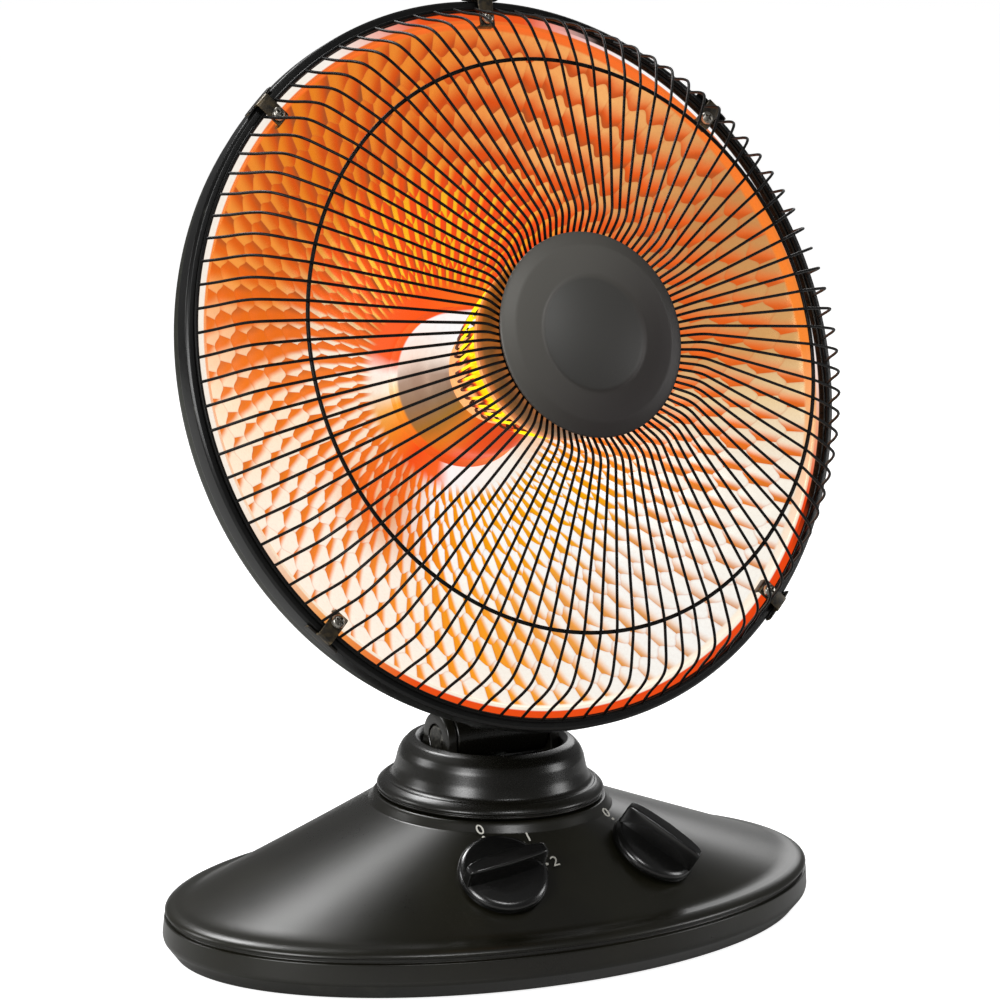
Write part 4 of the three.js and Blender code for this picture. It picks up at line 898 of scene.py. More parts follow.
class HeaterStageSettings(bpy.types.PropertyGroup):
    floor: paint("Floor", "Colour of the floor", (0.6, 0.6, 0.595))
    backdrop: paint("Backdrop", "Colour behind the object", (1.0, 1.0, 1.0))
    floor_glow: amount("Floor glow", "Light of the white sweep under the object", 0.9)
    ambient: amount("Ambient", "Strength of the light from all round", 0.16)
    azimuth: bearing("Azimuth", "Camera's angle round the object", -30.95)
    elevation: bearing("Elevation", "Camera's angle over the horizon", 11.2)
    roll: bearing("Roll", "Camera's turn about its own axis", 1.41)
    distance: FloatProperty(name="Distance", description="Camera's distance from the middle",
                            unit="LENGTH", default=1.7791)
    lens: FloatProperty(name="Lens", description="Focal length in millimetres", default=126.0)


# ---------------------------------------------------------------- base
def oval(inset, z):
    """A level of the base's oval skirt."""
    return (BASE_HALF_X - inset * MM, BASE_HALF_Y - inset * MM, 0.0, z * MM)


def round_level(radius, z):
    """A level of the round upper end of the base."""
    return (radius * MM, radius * MM, SWIVEL_Y, z)


# Sizes of the base in millimetres, but for the height in SLOPE_END, which is in metres.
COLLAR = (TURRET_RADIUS + 1.8 * MM) / MM
SLOPE_END = (COLLAR + 2.6, BASE_TOP - 4.7 * MM)
SLOPE_INSET = 12
EDGE_INSET = 1
EDGE_TOP = 27.2
FOOT_INSET = 6.4
BEARING_RADIUS = 18.7


def slope_frame(degrees, up):
    """The place on the slope at an angle round the oval and a share of the way up: its X is level, its
    Z points out of the slope."""
    angle = math.radians(degrees)
    foot = oval(SLOPE_INSET, EDGE_TOP)
    top, high_z = SLOPE_END[0] * MM, SLOPE_END[1]
    low = Vector((foot[0] * math.cos(angle), foot[1] * math.sin(angle), foot[3]))
    high = Vector((top * math.cos(angle), SWIVEL_Y + top * math.sin(angle), high_z))
    half_x, half_y = foot[0] + (top - foot[0]) * up, foot[1] + (top - foot[1]) * up
    along = Vector((-half_x * math.sin(angle), half_y * math.cos(angle), 0)).normalized()
    out = along.cross((high - low).normalized()).normalized()
    side = (Vector((1, 0, 0)) - out * out.x).normalized()
    place = low.lerp(high, up)
    return Matrix.Translation(place) @ Matrix((side, out.cross(side), out)).transposed().to_4x4()


HEAT_FRAME = slope_frame(-110.3, 0.575)
SWING_FRAME = slope_frame(-60.7, 0.575)


class HEATER_OT_base_shell(bpy.types.Operator):
    """Moulds the oval base: a leaning skirt, a groove, a rounded edge and a slope up to a round collar"""
    bl_idname = "heater.base_shell"
    bl_label = "Base shell"

    def execute(self, context):
        s = context.scene.heater_base
        groove, high, wall, low = s.groove / MM, s.groove_height / MM, s.wall / MM, BASE_LOW / MM
        edge_low = high + 1.4
        outside = np.array([
            oval(FOOT_INSET, low), oval(5.2, low + 1.6), oval(0.4, 9.2), oval(0, 11), oval(0.8, high - 1.4),
            oval(groove, high - 1.2), oval(groove, high + 0.9), oval(EDGE_INSET, edge_low),
        ])
        angle = np.append(np.linspace(0.12, 1.0, 7), math.pi / 2)
        inset = EDGE_INSET + (SLOPE_INSET - EDGE_INSET) * (1 - np.cos(angle))
        height = edge_low + (EDGE_TOP - edge_low) * np.sin(angle)
        edge = np.stack([BASE_HALF_X - inset * MM, BASE_HALF_Y - inset * MM, 0 * inset, height * MM], -1)
        under = BASE_TOP - wall * MM
        top = np.array([
            round_level(*SLOPE_END), round_level(COLLAR, BASE_TOP - 1 * MM),
            round_level(COLLAR - 1, BASE_TOP), round_level(BEARING_RADIUS, BASE_TOP),
            round_level(BEARING_RADIUS, under), round_level(COLLAR - wall - 0.6, under),
            round_level(SLOPE_END[0] - wall, SLOPE_END[1] - wall * MM),
        ])
        inside = np.array([
            oval(SLOPE_INSET + wall, EDGE_TOP - wall), oval(groove + wall, high),
            oval(groove + wall, 10.5), oval(FOOT_INSET + wall, low),
        ])
        levels = np.concatenate([outside, edge, top, inside])
        ease = np.full(len(levels), 0.7 * MM)
        ease[len(outside) + len(edge) - 1] = 7 * MM
        levels = eased(levels, ease, 5, closed=True)
        shell = body(loft(levels, 320), wrap_rows=True)
        rod = revolve(np.array([(0, -15), (4.2, -15), (4.2, 15), (0, 15)]) * MM, 32)
        bore = revolve(np.array([(0, -30), (6.35, -30), (6.35, 30), (0, 30)]) * MM, 40)
        gland = Matrix.Translation(middle("cord_gland")) @ Matrix.Rotation(math.pi / 2, 4, "X")
        piece("base_shell", [shell], "base", finish("black_plastic"), ["base_cover"],
              [moved(rod, HEAT_FRAME), moved(rod, SWING_FRAME), moved(bore, gland)])
        return {"FINISHED"}


def number(text, frame_matrix, degrees, radius, height, thick=0.12):
    """A number laid on the slope round a knob: type set flat, made a mesh, then carried to its place."""
    curve = bpy.data.curves.new("number", "FONT")
    curve.body = text
    curve.size = height * 1.4
    curve.extrude = thick * MM
    curve.align_x, curve.align_y = "CENTER", "CENTER"
    carrier = bpy.data.objects.new("number", curve)
    bpy.context.scene.collection.objects.link(carrier)
    bpy.context.view_layer.update()
    mesh = bpy.data.meshes.new_from_object(carrier.evaluated_get(bpy.context.evaluated_depsgraph_get()))
    bpy.data.objects.remove(carrier)
    angle = math.radians(degrees)
    spot = Vector((radius * math.cos(angle), radius * math.sin(angle), thick * MM))
    mesh.transform(frame_matrix @ Matrix.Translation(spot))
    return mesh


class HEATER_OT_dial_marks(bpy.types.Operator):
    """Prints plain numbers and dots on the slope beside the two knobs"""
    bl_idname = "heater.dial_marks"
    bl_label = "Dial marks"

    def execute(self, context):
        s = context.scene.heater_base
        reach = s.knob_radius + 7 * MM
        dot = np.array([(0, -0.1), (0.8, -0.1), (0.8, 0.22), (0, 0.22)]) * MM
        dot = revolve(eased(dot, 0.1 * MM, 2), 20)
        for name, place, marks, dots in (
            ("heat", HEAT_FRAME, (("0", 88), ("1", 40), ("2", 3)), (88, 40, 3)),
            ("swing", SWING_FRAME, (("0", 118), ("1", 62)), (118, 62)),
        ):
            spots = [moved(dot, place @ Matrix.Rotation(math.radians(a), 4, "Z")
                           @ Matrix.Translation((s.knob_radius + 2.4 * MM, 0, 0))) for a in dots]
            piece(f"{name}_dots", spots, "base", finish("mark_paint"))
            for text, degrees in marks:
                mesh = number(text, place, degrees, reach, s.mark_height)
                mesh.materials.clear()
                mesh.materials.append(finish("mark_paint"))
                mark = bpy.data.objects.new(f"{name}_mark_{text}", mesh)
                context.scene.collection.objects.link(mark)
                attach(mark, "base")
        return {"FINISHED"}


class HEATER_OT_knobs(bpy.types.Operator):
    """Moulds the two knobs: a round skirt with a bar grip, on a short stem"""
    bl_idname = "heater.knobs"
    bl_label = "Knobs"

    def execute(self, context):
        s = context.scene.heater_base
        radius = s.knob_radius / MM
        skirt = revolve(eased(np.array([
            (0, 0.9), (radius - 1.2, 0.9), (radius, 2.2), (radius - 0.4, 5.0), (radius - 2.6, 6.6),
            (radius * 0.6, 7.1), (0, 7.3)]) * MM, 1.2 * MM, 6), 128)
        long, wide = radius - 0.9, s.knob_grip / MM / 2
        verts, faces = block((-long * MM, -wide * MM, 2 * MM), (long * MM, wide * MM, 18.4 * MM), 0.2)
        rise, end = np.clip(verts[:, 2] / (18 * MM), 0, 1), np.abs(verts[:, 0]) / (long * MM)
        verts[:, 1] *= (1.12 - 0.42 * end ** 2) * (1 - 0.16 * rise)
        verts[:, 2] -= rise * (1.1 * MM) * end ** 2
        stem = revolve(eased(np.array([(0, -14), (3.2, -14), (3.2, 2), (0, 2)]) * MM, 0.4 * MM, 3), 32)
        for dial, knob, place, turn in (
            ("heat_dial", "heat_knob", HEAT_FRAME, 3), ("swing_dial", "swing_knob", SWING_FRAME, -52),
        ):
            parts = [moved(spun(part, turn), place) for part in (skirt, (verts, faces), stem)]
            piece(f"{dial}_moulding", parts, dial, finish("gloss_black"), [knob])
        return {"FINISHED"}


# ---------------------------------------------------------------- turret and hinge
# Radius of the holes round the tilt bolt, in millimetres.
BOLT_HOLE = 4.35


class HEATER_OT_turret_shell(bpy.types.Operator):
    """Moulds the turret: a rolled ring, a groove, a dome and a round pit with two hinge cheeks"""
    bl_idname = "heater.turret_shell"
    bl_label = "Turret shell"

    def execute(self, context):
        r, low = TURRET_RADIUS / MM, TURRET_LOW / MM
        profile = eased(np.array([
            (r - 0.9, low), (r - 0.2, low + 0.9), (r - 0.2, low + 1.5), (r - 0.9, low + 1.8),
            (r - 0.9, low + 2.3), (r, low + 2.7), (r - 0.2, low + 3.8), (r - 1.4, low + 5.2),
            (r - 4.2, low + 7.2), (r - 5.3, low + 7.0), (r - 7.2, low + 8.4), (r - 8.3, low + 11.2),
            (r - 9.2, low + 13.6), (r - 9.9, low + 16.6), (r - 10.7, low + 20.2), (r - 12.4, low + 23.8),
            (r - 15.6, low + 27.2), (r - 19.6, low + 28.6), (r - 22.2, low + 26.4), (r - 23.0, low + 16.6),
            (9, low + 16.6), (9, low + 14.2), (r - 20.6, low + 14.2), (r - 14.2, low + 18.6),
            (r - 10.8, low + 10), (r - 6.4, low + 0.2),
        ]) * MM, 1.1 * MM, 4, closed=True)
        shell = moved(revolve(profile, 200), Matrix.Translation((0, SWIVEL_Y, 0)))
        parts = [shell, self.cheek(-1), self.cheek(1)]
        piece("turret_shell", parts, "turret", finish("turret_plastic"), ["turret_cover"])
        return {"FINISHED"}

    def cheek(self, side):
        """A plate with a round top: its outline goes round the bolt, and its rows run from the outer face
        over the edge to the inner face and back through the stepped bolt hole."""
        floor_z, reach = TURRET_LOW + 15.6 * MM, 13.2 * MM
        arc = np.linspace(-0.1, math.pi + 0.1, 40)
        outline = np.concatenate([
            np.stack([np.linspace(-15.2, 15.2, 20) * MM, np.full(20, floor_z - TILT_Z)], -1),
            np.stack([reach * np.cos(arc), reach * np.sin(arc)], -1)])
        turn = np.arctan2(outline[:, 1], outline[:, 0])
        circle = lambda radius: radius * MM * np.stack([np.cos(turn), np.sin(turn)], -1)
        near, far = 27.7 * MM, 33.1 * MM
        recess, hole, seat = 7.15, BOLT_HOLE, far - 2.8 * MM
        rows = [(outline * 0.955, near), (outline, near + 0.7 * MM), (outline, far - 1.1 * MM),
                (outline * 0.97, far - 0.3 * MM), (outline * 0.93, far), (circle(recess + 0.25), far),
                (circle(recess), far - 0.3 * MM), (circle(recess), seat), (circle(hole), seat),
                (circle(hole), near)]
        points = np.stack([
            np.insert(loop + [SWIVEL_Y, TILT_Z], 0, side * x, axis=1) for loop, x in rows])
        return body(points, wrap_rows=True)


def shell_radius_at(depth):
    """Outer radius of the rear shell at a depth, from its own profile, grown by the seating gap."""
    profile = np.array([(184.2, 60), (184.2, -15), (178.9, -23.4), (132.4, -51.4), (62.4, -86), (59.4, -101),
                        (54.4, -106.4), (0, -106.5)]) * MM
    return np.interp(-depth, -profile[:, 1], profile[:, 0])


def neck_levels():
    """Levels of the neck from the hinge barrel to the rear shell, as (half_x, half_y, middle, z)."""
    front, back, stem = SWIVEL_Y / MM - 13, SWIVEL_Y / MM + 13, 26.5
    tilt, head_z, head_y = TILT_Z / MM, MOUTH.z / MM, MOUTH.y / MM
    rows = [(front + 1, back - 1, stem, tilt), (front, back + 8, stem, tilt + 13),
            (front, back + 19, stem, tilt + 26)]
    for share in (0, 0.3, 0.6, 1):
        rows.append((front - 4 * share, head_y + 80 - 11 * (1 - share) ** 2, stem + 15 * share,
                     head_z - 147 + 79 * share))
    return np.array([(half, (b - f) / 2, (b + f) / 2, z) for f, b, half, z in rows]) * MM


class HEATER_OT_neck(bpy.types.Operator):
    """Moulds the neck between the hinge and the rear shell, seated on the shell all round"""
    bl_idname = "heater.neck"
    bl_label = "Neck"

    def execute(self, context):
        parts = []
        levels = eased(neck_levels(), 9 * MM, 8)
        outer = self.seated(levels, 0.0)
        inner = self.seated(levels, 2.4 * MM)
        points = np.concatenate([outer, inner[::-1]])
        parts.append(body(points, first=outer[0].mean(0), last=inner[0].mean(0) + np.array([0, 0, 3 * MM])))
        barrel = np.array([(BOLT_HOLE, -27), (12.2, -27), (13, -26.2), (13, 26.2), (12.2, 27),
                           (BOLT_HOLE, 27)])
        barrel = revolve(eased(barrel * MM, 0.5 * MM, 3, closed=True), 72)
        onto = Matrix.Translation((0, SWIVEL_Y, TILT_Z)) @ Matrix.Rotation(math.pi / 2, 4, "Y")
        parts.append(moved(barrel, onto))
        piece("neck_moulding", parts, "head", finish("turret_plastic"), ["neck"])
        return {"FINISHED"}

    def seated(self, levels, inset):
        """Columns of the loft, each followed up to where it meets the rear shell. The meeting place is
        found for all columns at once by halving the stretch that holds it."""
        levels = levels - np.array([inset, inset, 0, 0])
        dense = np.linspace(0, len(levels) - 1, 400)
        known = np.arange(len(levels))
        fine = np.stack([np.interp(dense, known, levels[:, k]) for k in range(4)], -1)
        columns = loft(fine, 144, 0.6)
        back = np.array(HEAD_MATRIX.inverted(), float)
        local = columns @ back[:3, :3].T + back[:3, 3]
        inside = np.hypot(local[..., 0], local[..., 1]) < shell_radius_at(local[..., 2])
        inside[:60] = False
        met = np.where(inside.any(0), inside.argmax(0), len(fine) - 1)
        share = np.linspace(0, 1, 60)[:, None] * met[None, :]
        low = np.floor(share).astype(int)
        high = np.minimum(low + 1, len(fine) - 1)
        part = (share - low)[..., None]
        j = np.arange(columns.shape[1])[None, :]
        return columns[low, j] * (1 - part) + columns[high, j] * part


# ---------------------------------------------------------------- head: shells
class HEATER_OT_rear_shell(bpy.types.Operator):
    """Presses the rear shell with its round terminal housing and a row of air slots"""
    bl_idname = "heater.rear_shell"
    bl_label = "Rear shell"

    def execute(self, context):
        sheet = 1.6

        def side(inset):
            bend = np.radians(np.linspace(0, -62, 12))
            curve = np.stack([174.2 + (9 - inset) * np.cos(bend), -15 + (9 - inset) * np.sin(bend)], -1)
            rest = np.array([(132, -51 + inset), (62 - inset, -86 + inset), (59 - inset, -101),
                             (54 - inset * 0.6, -106 + inset), (0, -106 + inset)])
            return np.concatenate([[(183.2 - inset, -1.35)], curve, eased(rest, 3, 5)])

        profile = np.concatenate([side(0)[::-1], side(sheet)]) * MM
        shell = in_head(revolve(profile, 256))
        slot_half, slot_pitch = 1.6 * MM, 11 * MM
        slots = [in_head(block((slot_pitch * i - slot_half, 1 * MM, -116 * MM),
                               (slot_pitch * i + slot_half, 27 * MM, -96 * MM), 0.12))
                 for i in (-2, -1, 0, 1, 2)]
        piece("rear_shell", [shell], "head", finish("black_paint"), ["rear_cover"], slots)
        return {"FINISHED"}


class HEATER_OT_rim(bpy.types.Operator):
    """Rolls the channel that clamps the reflector's lip to the rear shell"""
    bl_idname = "heater.rim"
    bl_label = "Rim"

    def execute(self, context):
        r = RIM_RADIUS / MM
        profile = eased(np.array([
            (r - 6.3, 0.4), (r - 6.2, 1.5), (r - 5.4, 1.85), (r - 1.3, 1.65), (r, 0.4), (r, -8.4),
            (r - 0.4, -9), (r - 1.1, -8.8), (r - 1.2, 0.35)]) * MM, 0.4 * MM, 4, closed=True)
        piece("rim_channel", [in_head(revolve(profile, 384))], "head",
              finish("rim_paint"), ["rim_ring"])
        return {"FINISHED"}


class HEATER_OT_reflector(bpy.types.Operator):
    """Presses the reflector: a parabola of rotation whose rows of dimples are set over by half a dimple"""
    bl_idname = "heater.reflector"
    bl_label = "Reflector"

    def execute(self, context):
        s = context.scene.heater_head
        inner, edge, hole = RIM_RADIUS - 6.3 * MM, 172.6 * MM, 16 * MM
        parabola = lambda r: -s.bowl_depth * (1 - (r / inner) ** 2)
        radius = np.concatenate([
            np.linspace(hole, s.smooth_radius, 14, endpoint=False), np.linspace(s.smooth_radius, edge, 128)])
        angle = np.linspace(0, TURN, s.columns * 6, endpoint=False)
        r, a = np.meshgrid(radius, angle, indexing="ij")
        reach, count = (r - s.row_start) / s.row, a / TURN * s.columns
        wave, border = s.arch * np.cos(TURN * count), np.round(reach)
        row = border - 1 + (reach - border > wave * (1 - 2 * (border % 2)))
        low = wave * (1 - 2 * (row % 2))
        across = (count + 0.5 * (row % 2)) % 1 - 0.5
        along = (reach - row - low) / (1 - 2 * low) - 0.5
        press = np.cos(math.pi * across) * np.cos(math.pi * along)
        ends = np.clip((r - s.smooth_radius) / (8 * MM), 0, 1) * np.clip((edge - r) / (2 * MM), 0, 1)
        height = parabola(r) - s.dimple * press * ends * np.clip(r / (110 * MM), 0.45, 1)
        front = np.stack([r * np.cos(a), r * np.sin(a), height], -1)

        def ring(radii, depths):
            q, depth = radii[:, None], depths[:, None]
            return np.stack([q * np.cos(angle), q * np.sin(angle), depth + 0 * angle], -1)

        lip = ring(np.array([173.6, 174.6, 182.6, 182.8, 182.8, 174.8]) * MM,
                   np.array([-0.6, -0.05, -0.05, -0.2, -0.95, -1.0]) * MM)
        back_radii = np.linspace(edge, hole, 10)
        back = ring(back_radii, parabola(back_radii) - 1.75 * MM)
        points = np.concatenate([front, lip, back])
        dish = piece("reflector_dish", [in_head(body(points, wrap_rows=True))], "head",
                     finish("mirror_sheet"), ["reflector"])
        dish.data.materials.append(finish("steel"))
        row = np.arange(len(dish.data.polygons)) // len(angle)
        dish.data.polygons.foreach_set("material_index", (row > len(front) + 2).astype(np.int32))
        return {"FINISHED"}


# ---------------------------------------------------------------- head: guard
# Radius of the holes round the element's stud, in millimetres.
STUD_HOLE = 2.85


def rounded_hoop(radius, depth, wire, sides=192, around=12):
    """A hoop of round wire."""
    a = np.linspace(0, TURN, around, endpoint=False)
    return revolve(np.stack([radius + wire * np.cos(a), depth + wire * np.sin(a)], -1) * MM, sides)


class HEATER_OT_wire_guard(bpy.types.Operator):
    """Bends the wires of the guard, each one a line over the shoulder and a kink at the cap, on two hoops"""
    bl_idname = "heater.wire_guard"
    bl_label = "Wire guard"

    def execute(self, context):
        s = context.scene.heater_head
        path = eased(np.array([
            (46.6, 60.3), (61, 69.8), (143, 46.9), (162.2, 36.9), (167.6, 32.4), (171.4, 25),
            (175.6, 13), (180.4, 2.95)]), 5, 5) * MM
        turn = np.linspace(0, TURN, s.wires, endpoint=False)[:, None]
        paths = np.stack([path[:, 0] * np.cos(turn), path[:, 0] * np.sin(turn), path[:, 1] + 0 * turn], -1)
        guide = np.stack([-np.sin(turn), np.cos(turn), 0 * turn], -1)
        wires = [in_head(wire) for wire in tube(paths, s.wire / 2, 8, guide)]
        hoop = in_head(rounded_hoop(180.4, 2.9, 1.0))
        piece("guard_wires", [*wires, hoop], "head", finish("guard_wire"), ["guard"])
        piece("guard_ring", [in_head(rounded_hoop(142.5, 45.3, 1.0))], "head",
              finish("guard_wire"), ["guard_mid_ring"])
        disc = np.array([(STUD_HOLE, 57.95), (47.2, 57.95), (47.5, 58.2), (47.5, 58.8), (47.2, 58.95),
                         (STUD_HOLE, 58.95)])
        disc = revolve(eased(disc * MM, 0.2 * MM, 2, closed=True), 96)
        piece("guard_disc", [in_head(disc)], "head", finish("guard_wire"), ["guard_centre"])
        return {"FINISHED"}


class HEATER_OT_cap(bpy.types.Operator):
    """Presses the plain centre cap with its bevelled edge and shallow round recess"""
    bl_idname = "heater.cap"
    bl_label = "Centre cap"

    def execute(self, context):
        r, edge = CAP_RADIUS / MM, 64.62
        top = edge + 1.4
        face = [(0, top + 0.8), (26.3, top + 1.25), (29.2, top + 2.75), (38, top + 2.75), (r - 7, top + 2.5),
                (r - 2.2, top + 0.9), (r, top - 0.1), (r, edge), (r - 1.4, edge), (r - 8, top + 1.1),
                (29.2, top + 1.4), (26, top - 0.15), (0, top - 0.6)]
        profile = np.concatenate([[face[0]], eased(np.array(face[1:-1]), 1.2, 5), [face[-1]]]) * MM
        piece("cap_disc", [in_head(revolve(profile, 160))], "head",
              finish("cap_paint"), ["centre_cap"])
        return {"FINISHED"}


def cross_screw(radius, seat, height, reach, shank):
    """A pan-head screw with a cross recess: the head's height over (radius, angle) falls from a low dome
    by a smooth step wherever the point lies within half a slot of either of two lines."""
    r = np.linspace(0.02, 1, 22)[:, None] * radius
    a = np.linspace(0, TURN, 64, endpoint=False)[None, :]
    x, y = r * np.cos(a), r * np.sin(a)
    dome = seat + height * np.sqrt(np.clip(1 - (r / radius) ** 4, 0, 1)) + 0 * a
    slot = np.minimum(np.abs(x), np.abs(y))
    cut = np.clip((0.17 * radius - slot) / (0.05 * radius), 0, 1) * (r < 0.62 * radius)
    head = np.stack([x, y, np.maximum(dome - cut * height * 0.55, seat)], -1)
    lower = np.array([(radius, seat), (shank, seat), (shank, -reach)])
    skirt = np.stack([lower[:, :1] * np.cos(a), lower[:, :1] * np.sin(a), lower[:, 1:] + 0 * a], -1)
    centre = head[0].mean(0)
    return body(np.concatenate([head, skirt]), first=centre, last=(0, 0, -reach))


class HEATER_OT_clips(bpy.types.Operator):
    """Bends the straps that hold the guard on the rim, and turns their cross-recess screws"""
    bl_idname = "heater.clips"
    bl_label = "Guard clips"

    def execute(self, context):
        r = RIM_RADIUS / MM
        over, wires = 4.25 + 0.55, context.scene.heater_head.wires
        inner, outer = r - 14.4 + 0.55, r + 0.35 + 0.55
        bend = eased(np.array([(inner, 0.4), (inner, over), (outer, over), (outer, -2)]), 1.2, 5) * MM
        neck = strip(bend, 1.1 * MM, 8.3 * MM)
        leg = block(((r + 0.4) * MM, -10 * MM, -2 * MM), ((r + 1.5) * MM, 10 * MM, 2.5 * MM), 0.3)
        screw = moved(cross_screw(3.5 * MM, 5.75 * MM, 2.2 * MM, 7 * MM, 1.7 * MM),
                      Matrix.Translation(((r - 9.6) * MM, 0, 0)))
        angles = [a - 180 / wires for a in (45, 90, 135, 225, 315)]
        for i, degrees in enumerate(angles):
            piece(f"clip_strap_{i + 1}", [in_head(spun(neck, degrees)), in_head(spun(leg, degrees))], "head",
                  finish("clip_metal"), [f"clip_{i + 1}"])
            piece(f"clip_bolt_{i + 1}", [in_head(spun(screw, degrees))], "head", finish("steel"),
                  [f"clip_screw_{i + 1}"])
        return {"FINISHED"}


# ---------------------------------------------------------------- head: heating element
# The ceramic cone's narrow and wide end as (radius, depth), in millimetres.
NARROW, WIDE = (21.2, -27.6), (38.6, 29.6)
CONE_SLOPE = (WIDE[0] - NARROW[0]) / (WIDE[1] - NARROW[1])


def former_radius(depth):
    """Radius of the ceramic cone at a depth, in millimetres."""
    return NARROW[0] + CONE_SLOPE * (depth - NARROW[1])


def coil_path(curls, steps):
    """The coil's centre line: flat curls on the cone, side by side. Along the cone it swings as the root
    of a cosine and off the cone as the root of a sine, while it goes once round the cone."""
    back, front, stand, thick, wire = -14.8, 27.4, 0.9, 5.2, 0.62
    lean = math.atan(CONE_SLOPE)
    mid, half = (front + back) / 2, (front - back) / 2 / math.cos(lean)
    i = np.arange(curls * steps + 1)
    swing = TURN * i / steps + math.pi
    along = half * signed_power(np.cos(swing), 0.5)
    height = stand + wire + thick / 2 * (1 - signed_power(np.sin(swing), 0.5))
    turn = math.radians(-110) + TURN * (1 - 1.6 / curls) * i / (curls * steps)
    depth = mid + along * math.cos(lean) - height * math.sin(lean)
    radius = former_radius(mid) + along * math.sin(lean) + height * math.cos(lean)
    return np.stack([radius * np.cos(turn), radius * np.sin(turn), depth], -1) * MM


class HEATER_OT_element(bpy.types.Operator):
    """Builds the hub can, the ceramic former, the coil round it and the drum in front"""
    bl_idname = "heater.element"
    bl_label = "Heating element"

    def execute(self, context):
        s = context.scene.heater_head
        bend = np.radians(np.linspace(2, 52, 12))
        arc = lambda radius: np.stack([25 + radius * np.cos(bend), -48.85 + radius * np.sin(bend)], -1)
        hub = np.concatenate([
            [(42, -67.1), (42, -66.3), (40.2, -66.1), (39, -64.9)], arc(14),
            [(27, -33.6), (25, -32.9), (STUD_HOLE, -32.9), (STUD_HOLE, -33.85), (24.4, -33.85)],
            arc(13)[::-1], [(38, -67.1)]])
        hub = eased(hub, 0.5, 2, closed=True) * MM
        piece("hub_can", [in_head(revolve(hub, 144))], "head", finish("hub"), ["hub_cup"])
        cone = eased(np.array([
            (STUD_HOLE, -32.5), (25.2, -32.5), (26, -31.6), (26, -28.8), (25.2, -28), NARROW, WIDE,
            (45.2, 29.9), (45.8, 30.5), (45.8, 32.4), (45.2, 33.1), (STUD_HOLE, 33.1)]), 0.6, 3, closed=True)
        piece("ceramic_cone", [in_head(revolve(cone * MM, 120))], "head",
              finish("ceramic"), ["element_former"])
        path = coil_path(s.curls, 24)
        foot = lambda p, d: np.array([*(p[:2] / np.linalg.norm(p[:2]) * 23.1 * MM), d * MM])
        path = np.concatenate([[foot(path[0], -27.2), foot(path[0], -25)], path,
                               [foot(path[-1], -25), foot(path[-1], -27.2)]])[None]
        guide = np.cross(path * [1, 1, 0], [0, 0, 1.0])
        coil = tube(path, s.coil_wire / 2, 8, guide)
        piece("coil_wire", [in_head(part) for part in coil], "head",
              finish("hot_wire"), ["heating_coil"])
        drum = eased(np.array([
            (46.4, 34.05), (46.4, 55.9), (44.9, 57.4), (STUD_HOLE, 57.4), (STUD_HOLE, 56.5), (44.5, 56.5),
            (45.4, 55.5), (45.4, 34.05)]), 0.5, 3, closed=True) * MM
        piece("element_drum", [in_head(revolve(drum, 144))], "head",
              finish("drum"), ["element_shield"])
        return {"FINISHED"}


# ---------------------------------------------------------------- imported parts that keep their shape
class HEATER_OT_fittings(bpy.types.Operator):
    """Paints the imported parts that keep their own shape, each with the finish of its kind"""
    bl_idname = "heater.fittings"
    bl_label = "Fittings"

    def execute(self, context):
        kinds = {
            "black_plastic": ["base_plate"],
            "rubber": [*numbered("foot", 4), "cord_gland"],
            "steel": [*numbered("base_screw", 4), "swing_motor", *numbered("motor_bracket", 2),
                      "element_stud", "stud_nut", "mount_plate"],
            "black_steel": ["tilt_bolt", "tilt_nut"],
            "grey_plastic": ["swivel_bearing", "heat_switch", "swing_switch", "tip_switch", "tip_plunger",
                             "crank_disc", "drive_link", "swing_arm", "swivel_post", "thermal_cutout"],
        }
        for kind, names in kinds.items():
            for name in names:
                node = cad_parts[name]
                node.data.materials.clear()
                node.data.materials.append(finish(kind))
        return {"FINISHED"}


# ---------------------------------------------------------------- stage
LIT_POINT = Vector((0, 0, 0.2))


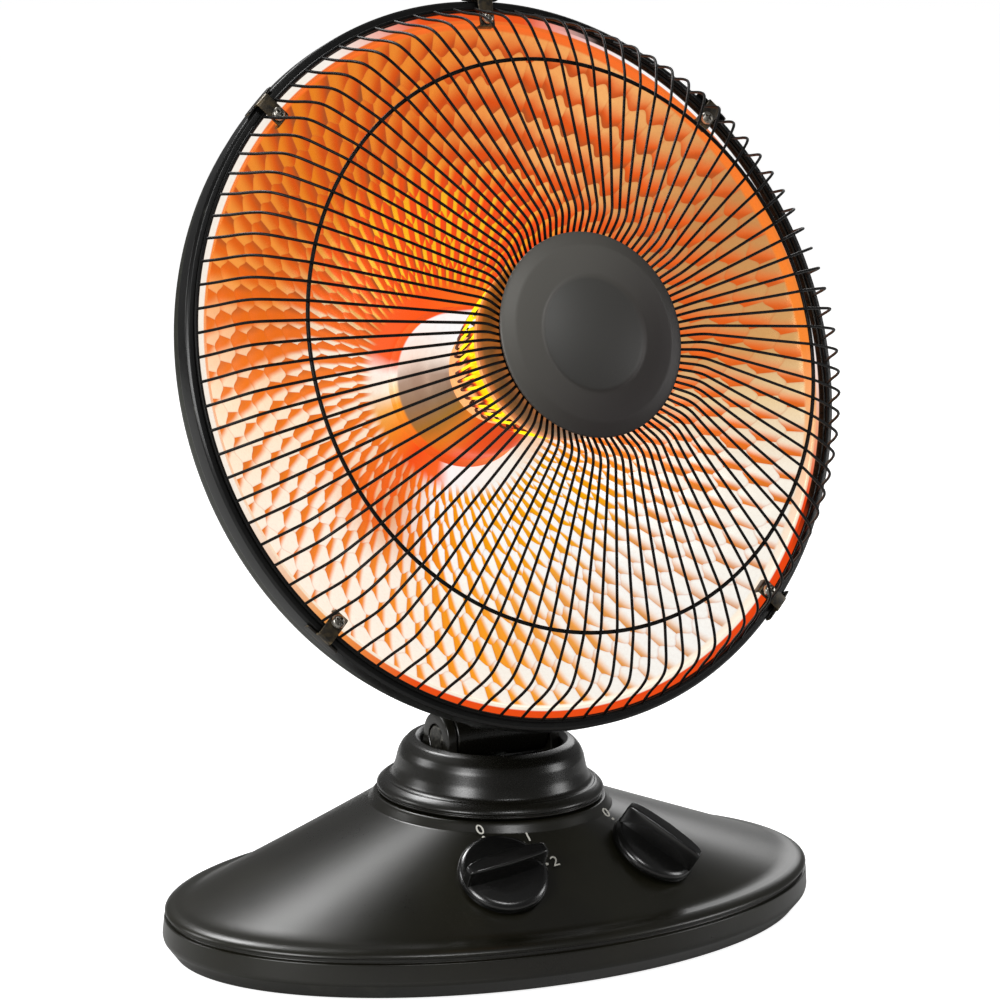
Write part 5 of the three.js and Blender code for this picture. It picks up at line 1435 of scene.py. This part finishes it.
class HEATER_OT_stage(bpy.types.Operator):
    """Lays the pale floor, sets soft lights and stands the camera at the photograph's angle"""
    bl_idname = "heater.stage"
    bl_label = "Stage"

    def execute(self, context):
        s = context.scene.heater_stage
        mesh = bpy.data.meshes.new("floor")
        radius, corners = 9, 96
        a = np.linspace(0, TURN, corners, endpoint=False)
        points = np.stack([radius * np.cos(a), radius * np.sin(a), 0 * a], -1)
        mesh.from_pydata(points.tolist(), [], [list(range(corners))])
        floor = bpy.data.objects.new("floor", mesh)
        context.scene.collection.objects.link(floor)
        material, t, shader = new_material("pale_floor")
        cloud = t.step(t.object_noise(3.0, 3, 0.5), 0.3, 0.7, 0.0, 0.03)
        t.put(shader.inputs["Base Color"], t.mix(cloud, linear(s.floor), (0.5, 0.5, 0.49, 1)))
        set_shader(shader, Roughness=0.55, Specular_IOR_Level=0.2, Emission_Color=(1, 1, 1, 1))
        seen = t.add("LightPath").outputs["Is Camera Ray"]
        t.put(shader.inputs["Emission Strength"], t.math("MULTIPLY", seen, s.floor_glow))
        mesh.materials.append(material)
        self.sky(context.scene, s)
        context.scene.view_settings.view_transform = "Standard"
        for name, place, size, power in (
            ("key", (-1.7, -0.9, 0.9), 0.8, 24), ("fill", (1.5, -0.9, 0.6), 0.6, 6),
            ("rear_top", (-0.35, 1.15, 1.75), 0.7, 25), ("front_top", (-0.1, -1.3, 1.6), 0.5, 8),
            ("right", (1.4, 1.35, 0.8), 0.8, 4), ("left", (-1.5, 1.0, 0.8), 0.6, 8),
        ):
            light = bpy.data.lights.new(name, "AREA")
            light.shape, light.size, light.energy = "DISK", size, power
            lamp = bpy.data.objects.new(name, light)
            context.scene.collection.objects.link(lamp)
            lamp.location = place
            lamp.rotation_euler = (LIT_POINT - Vector(place)).to_track_quat("-Z", "Y").to_euler()
        self.camera(context.scene, s)
        return {"FINISHED"}

    def sky(self, scene, s):
        """A pale world: bright behind the object and dimmer as a light."""
        world = bpy.data.worlds.new("studio")
        world.use_nodes = True
        t = Tree(world.node_tree)
        background = world.node_tree.nodes["Background"]
        seen = t.add("LightPath").outputs["Is Camera Ray"]
        t.put(background.inputs["Color"], linear(s.backdrop))
        t.put(background.inputs["Strength"], t.math("MULTIPLY_ADD", seen, 1.0 - s.ambient, s.ambient))
        scene.world = world

    def camera(self, scene, s):
        """Looks at a point above the middle of the base from the given angles, with a small roll."""
        a, e, roll = s.azimuth, s.elevation, s.roll
        back = Vector((math.sin(a) * math.cos(e), -math.cos(a) * math.cos(e), math.sin(e)))
        right = Vector((math.cos(a), math.sin(a), 0))
        up = back.cross(right)
        side = right * math.cos(roll) + up * math.sin(roll)
        top = up * math.cos(roll) - right * math.sin(roll)
        target = Vector((0, SWIVEL_Y, 222.1 * MM)) + right * 1.51 * MM
        data = bpy.data.cameras.new("camera")
        data.lens, data.sensor_width = s.lens, 36
        camera = bpy.data.objects.new("camera", data)
        scene.collection.objects.link(camera)
        turned = Matrix((side, top, back)).transposed().to_4x4()
        camera.matrix_world = Matrix.Translation(target + back * s.distance) @ turned
        scene.camera = camera


# ---------------------------------------------------------------- panel and registration
OPERATORS = (
    HEATER_OT_stage, HEATER_OT_base_shell, HEATER_OT_dial_marks, HEATER_OT_knobs, HEATER_OT_turret_shell,
    HEATER_OT_neck, HEATER_OT_rear_shell, HEATER_OT_rim, HEATER_OT_reflector, HEATER_OT_wire_guard,
    HEATER_OT_cap, HEATER_OT_clips, HEATER_OT_element, HEATER_OT_fittings,
)


class HEATER_PT_panel(bpy.types.Panel):
    """Lists the heater's pieces in the sidebar"""
    bl_idname = "HEATER_PT_panel"
    bl_label = "Parabolic heater"
    bl_space_type = "VIEW_3D"
    bl_region_type = "UI"
    bl_category = "Heater"

    def draw(self, context):
        for operator in OPERATORS:
            self.layout.operator(operator.bl_idname)


SETTINGS = {
    "heater_base": HeaterBaseSettings,
    "heater_head": HeaterHeadSettings,
    "heater_colours": HeaterColourSettings,
    "heater_stage": HeaterStageSettings,
}


def register():
    for name, group in SETTINGS.items():
        bpy.utils.register_class(group)
        setattr(bpy.types.Scene, name, PointerProperty(type=group))
    for operator in OPERATORS:
        bpy.utils.register_class(operator)
    bpy.utils.register_class(HEATER_PT_panel)


def unregister():
    bpy.utils.unregister_class(HEATER_PT_panel)
    for operator in reversed(OPERATORS):
        bpy.utils.unregister_class(operator)
    for name, group in SETTINGS.items():
        delattr(bpy.types.Scene, name)
        bpy.utils.unregister_class(group)


def main():
    register()
    for operator in OPERATORS:
        getattr(bpy.ops.heater, operator.bl_idname.split(".")[1])()


if __name__ == "__main__":
    main()
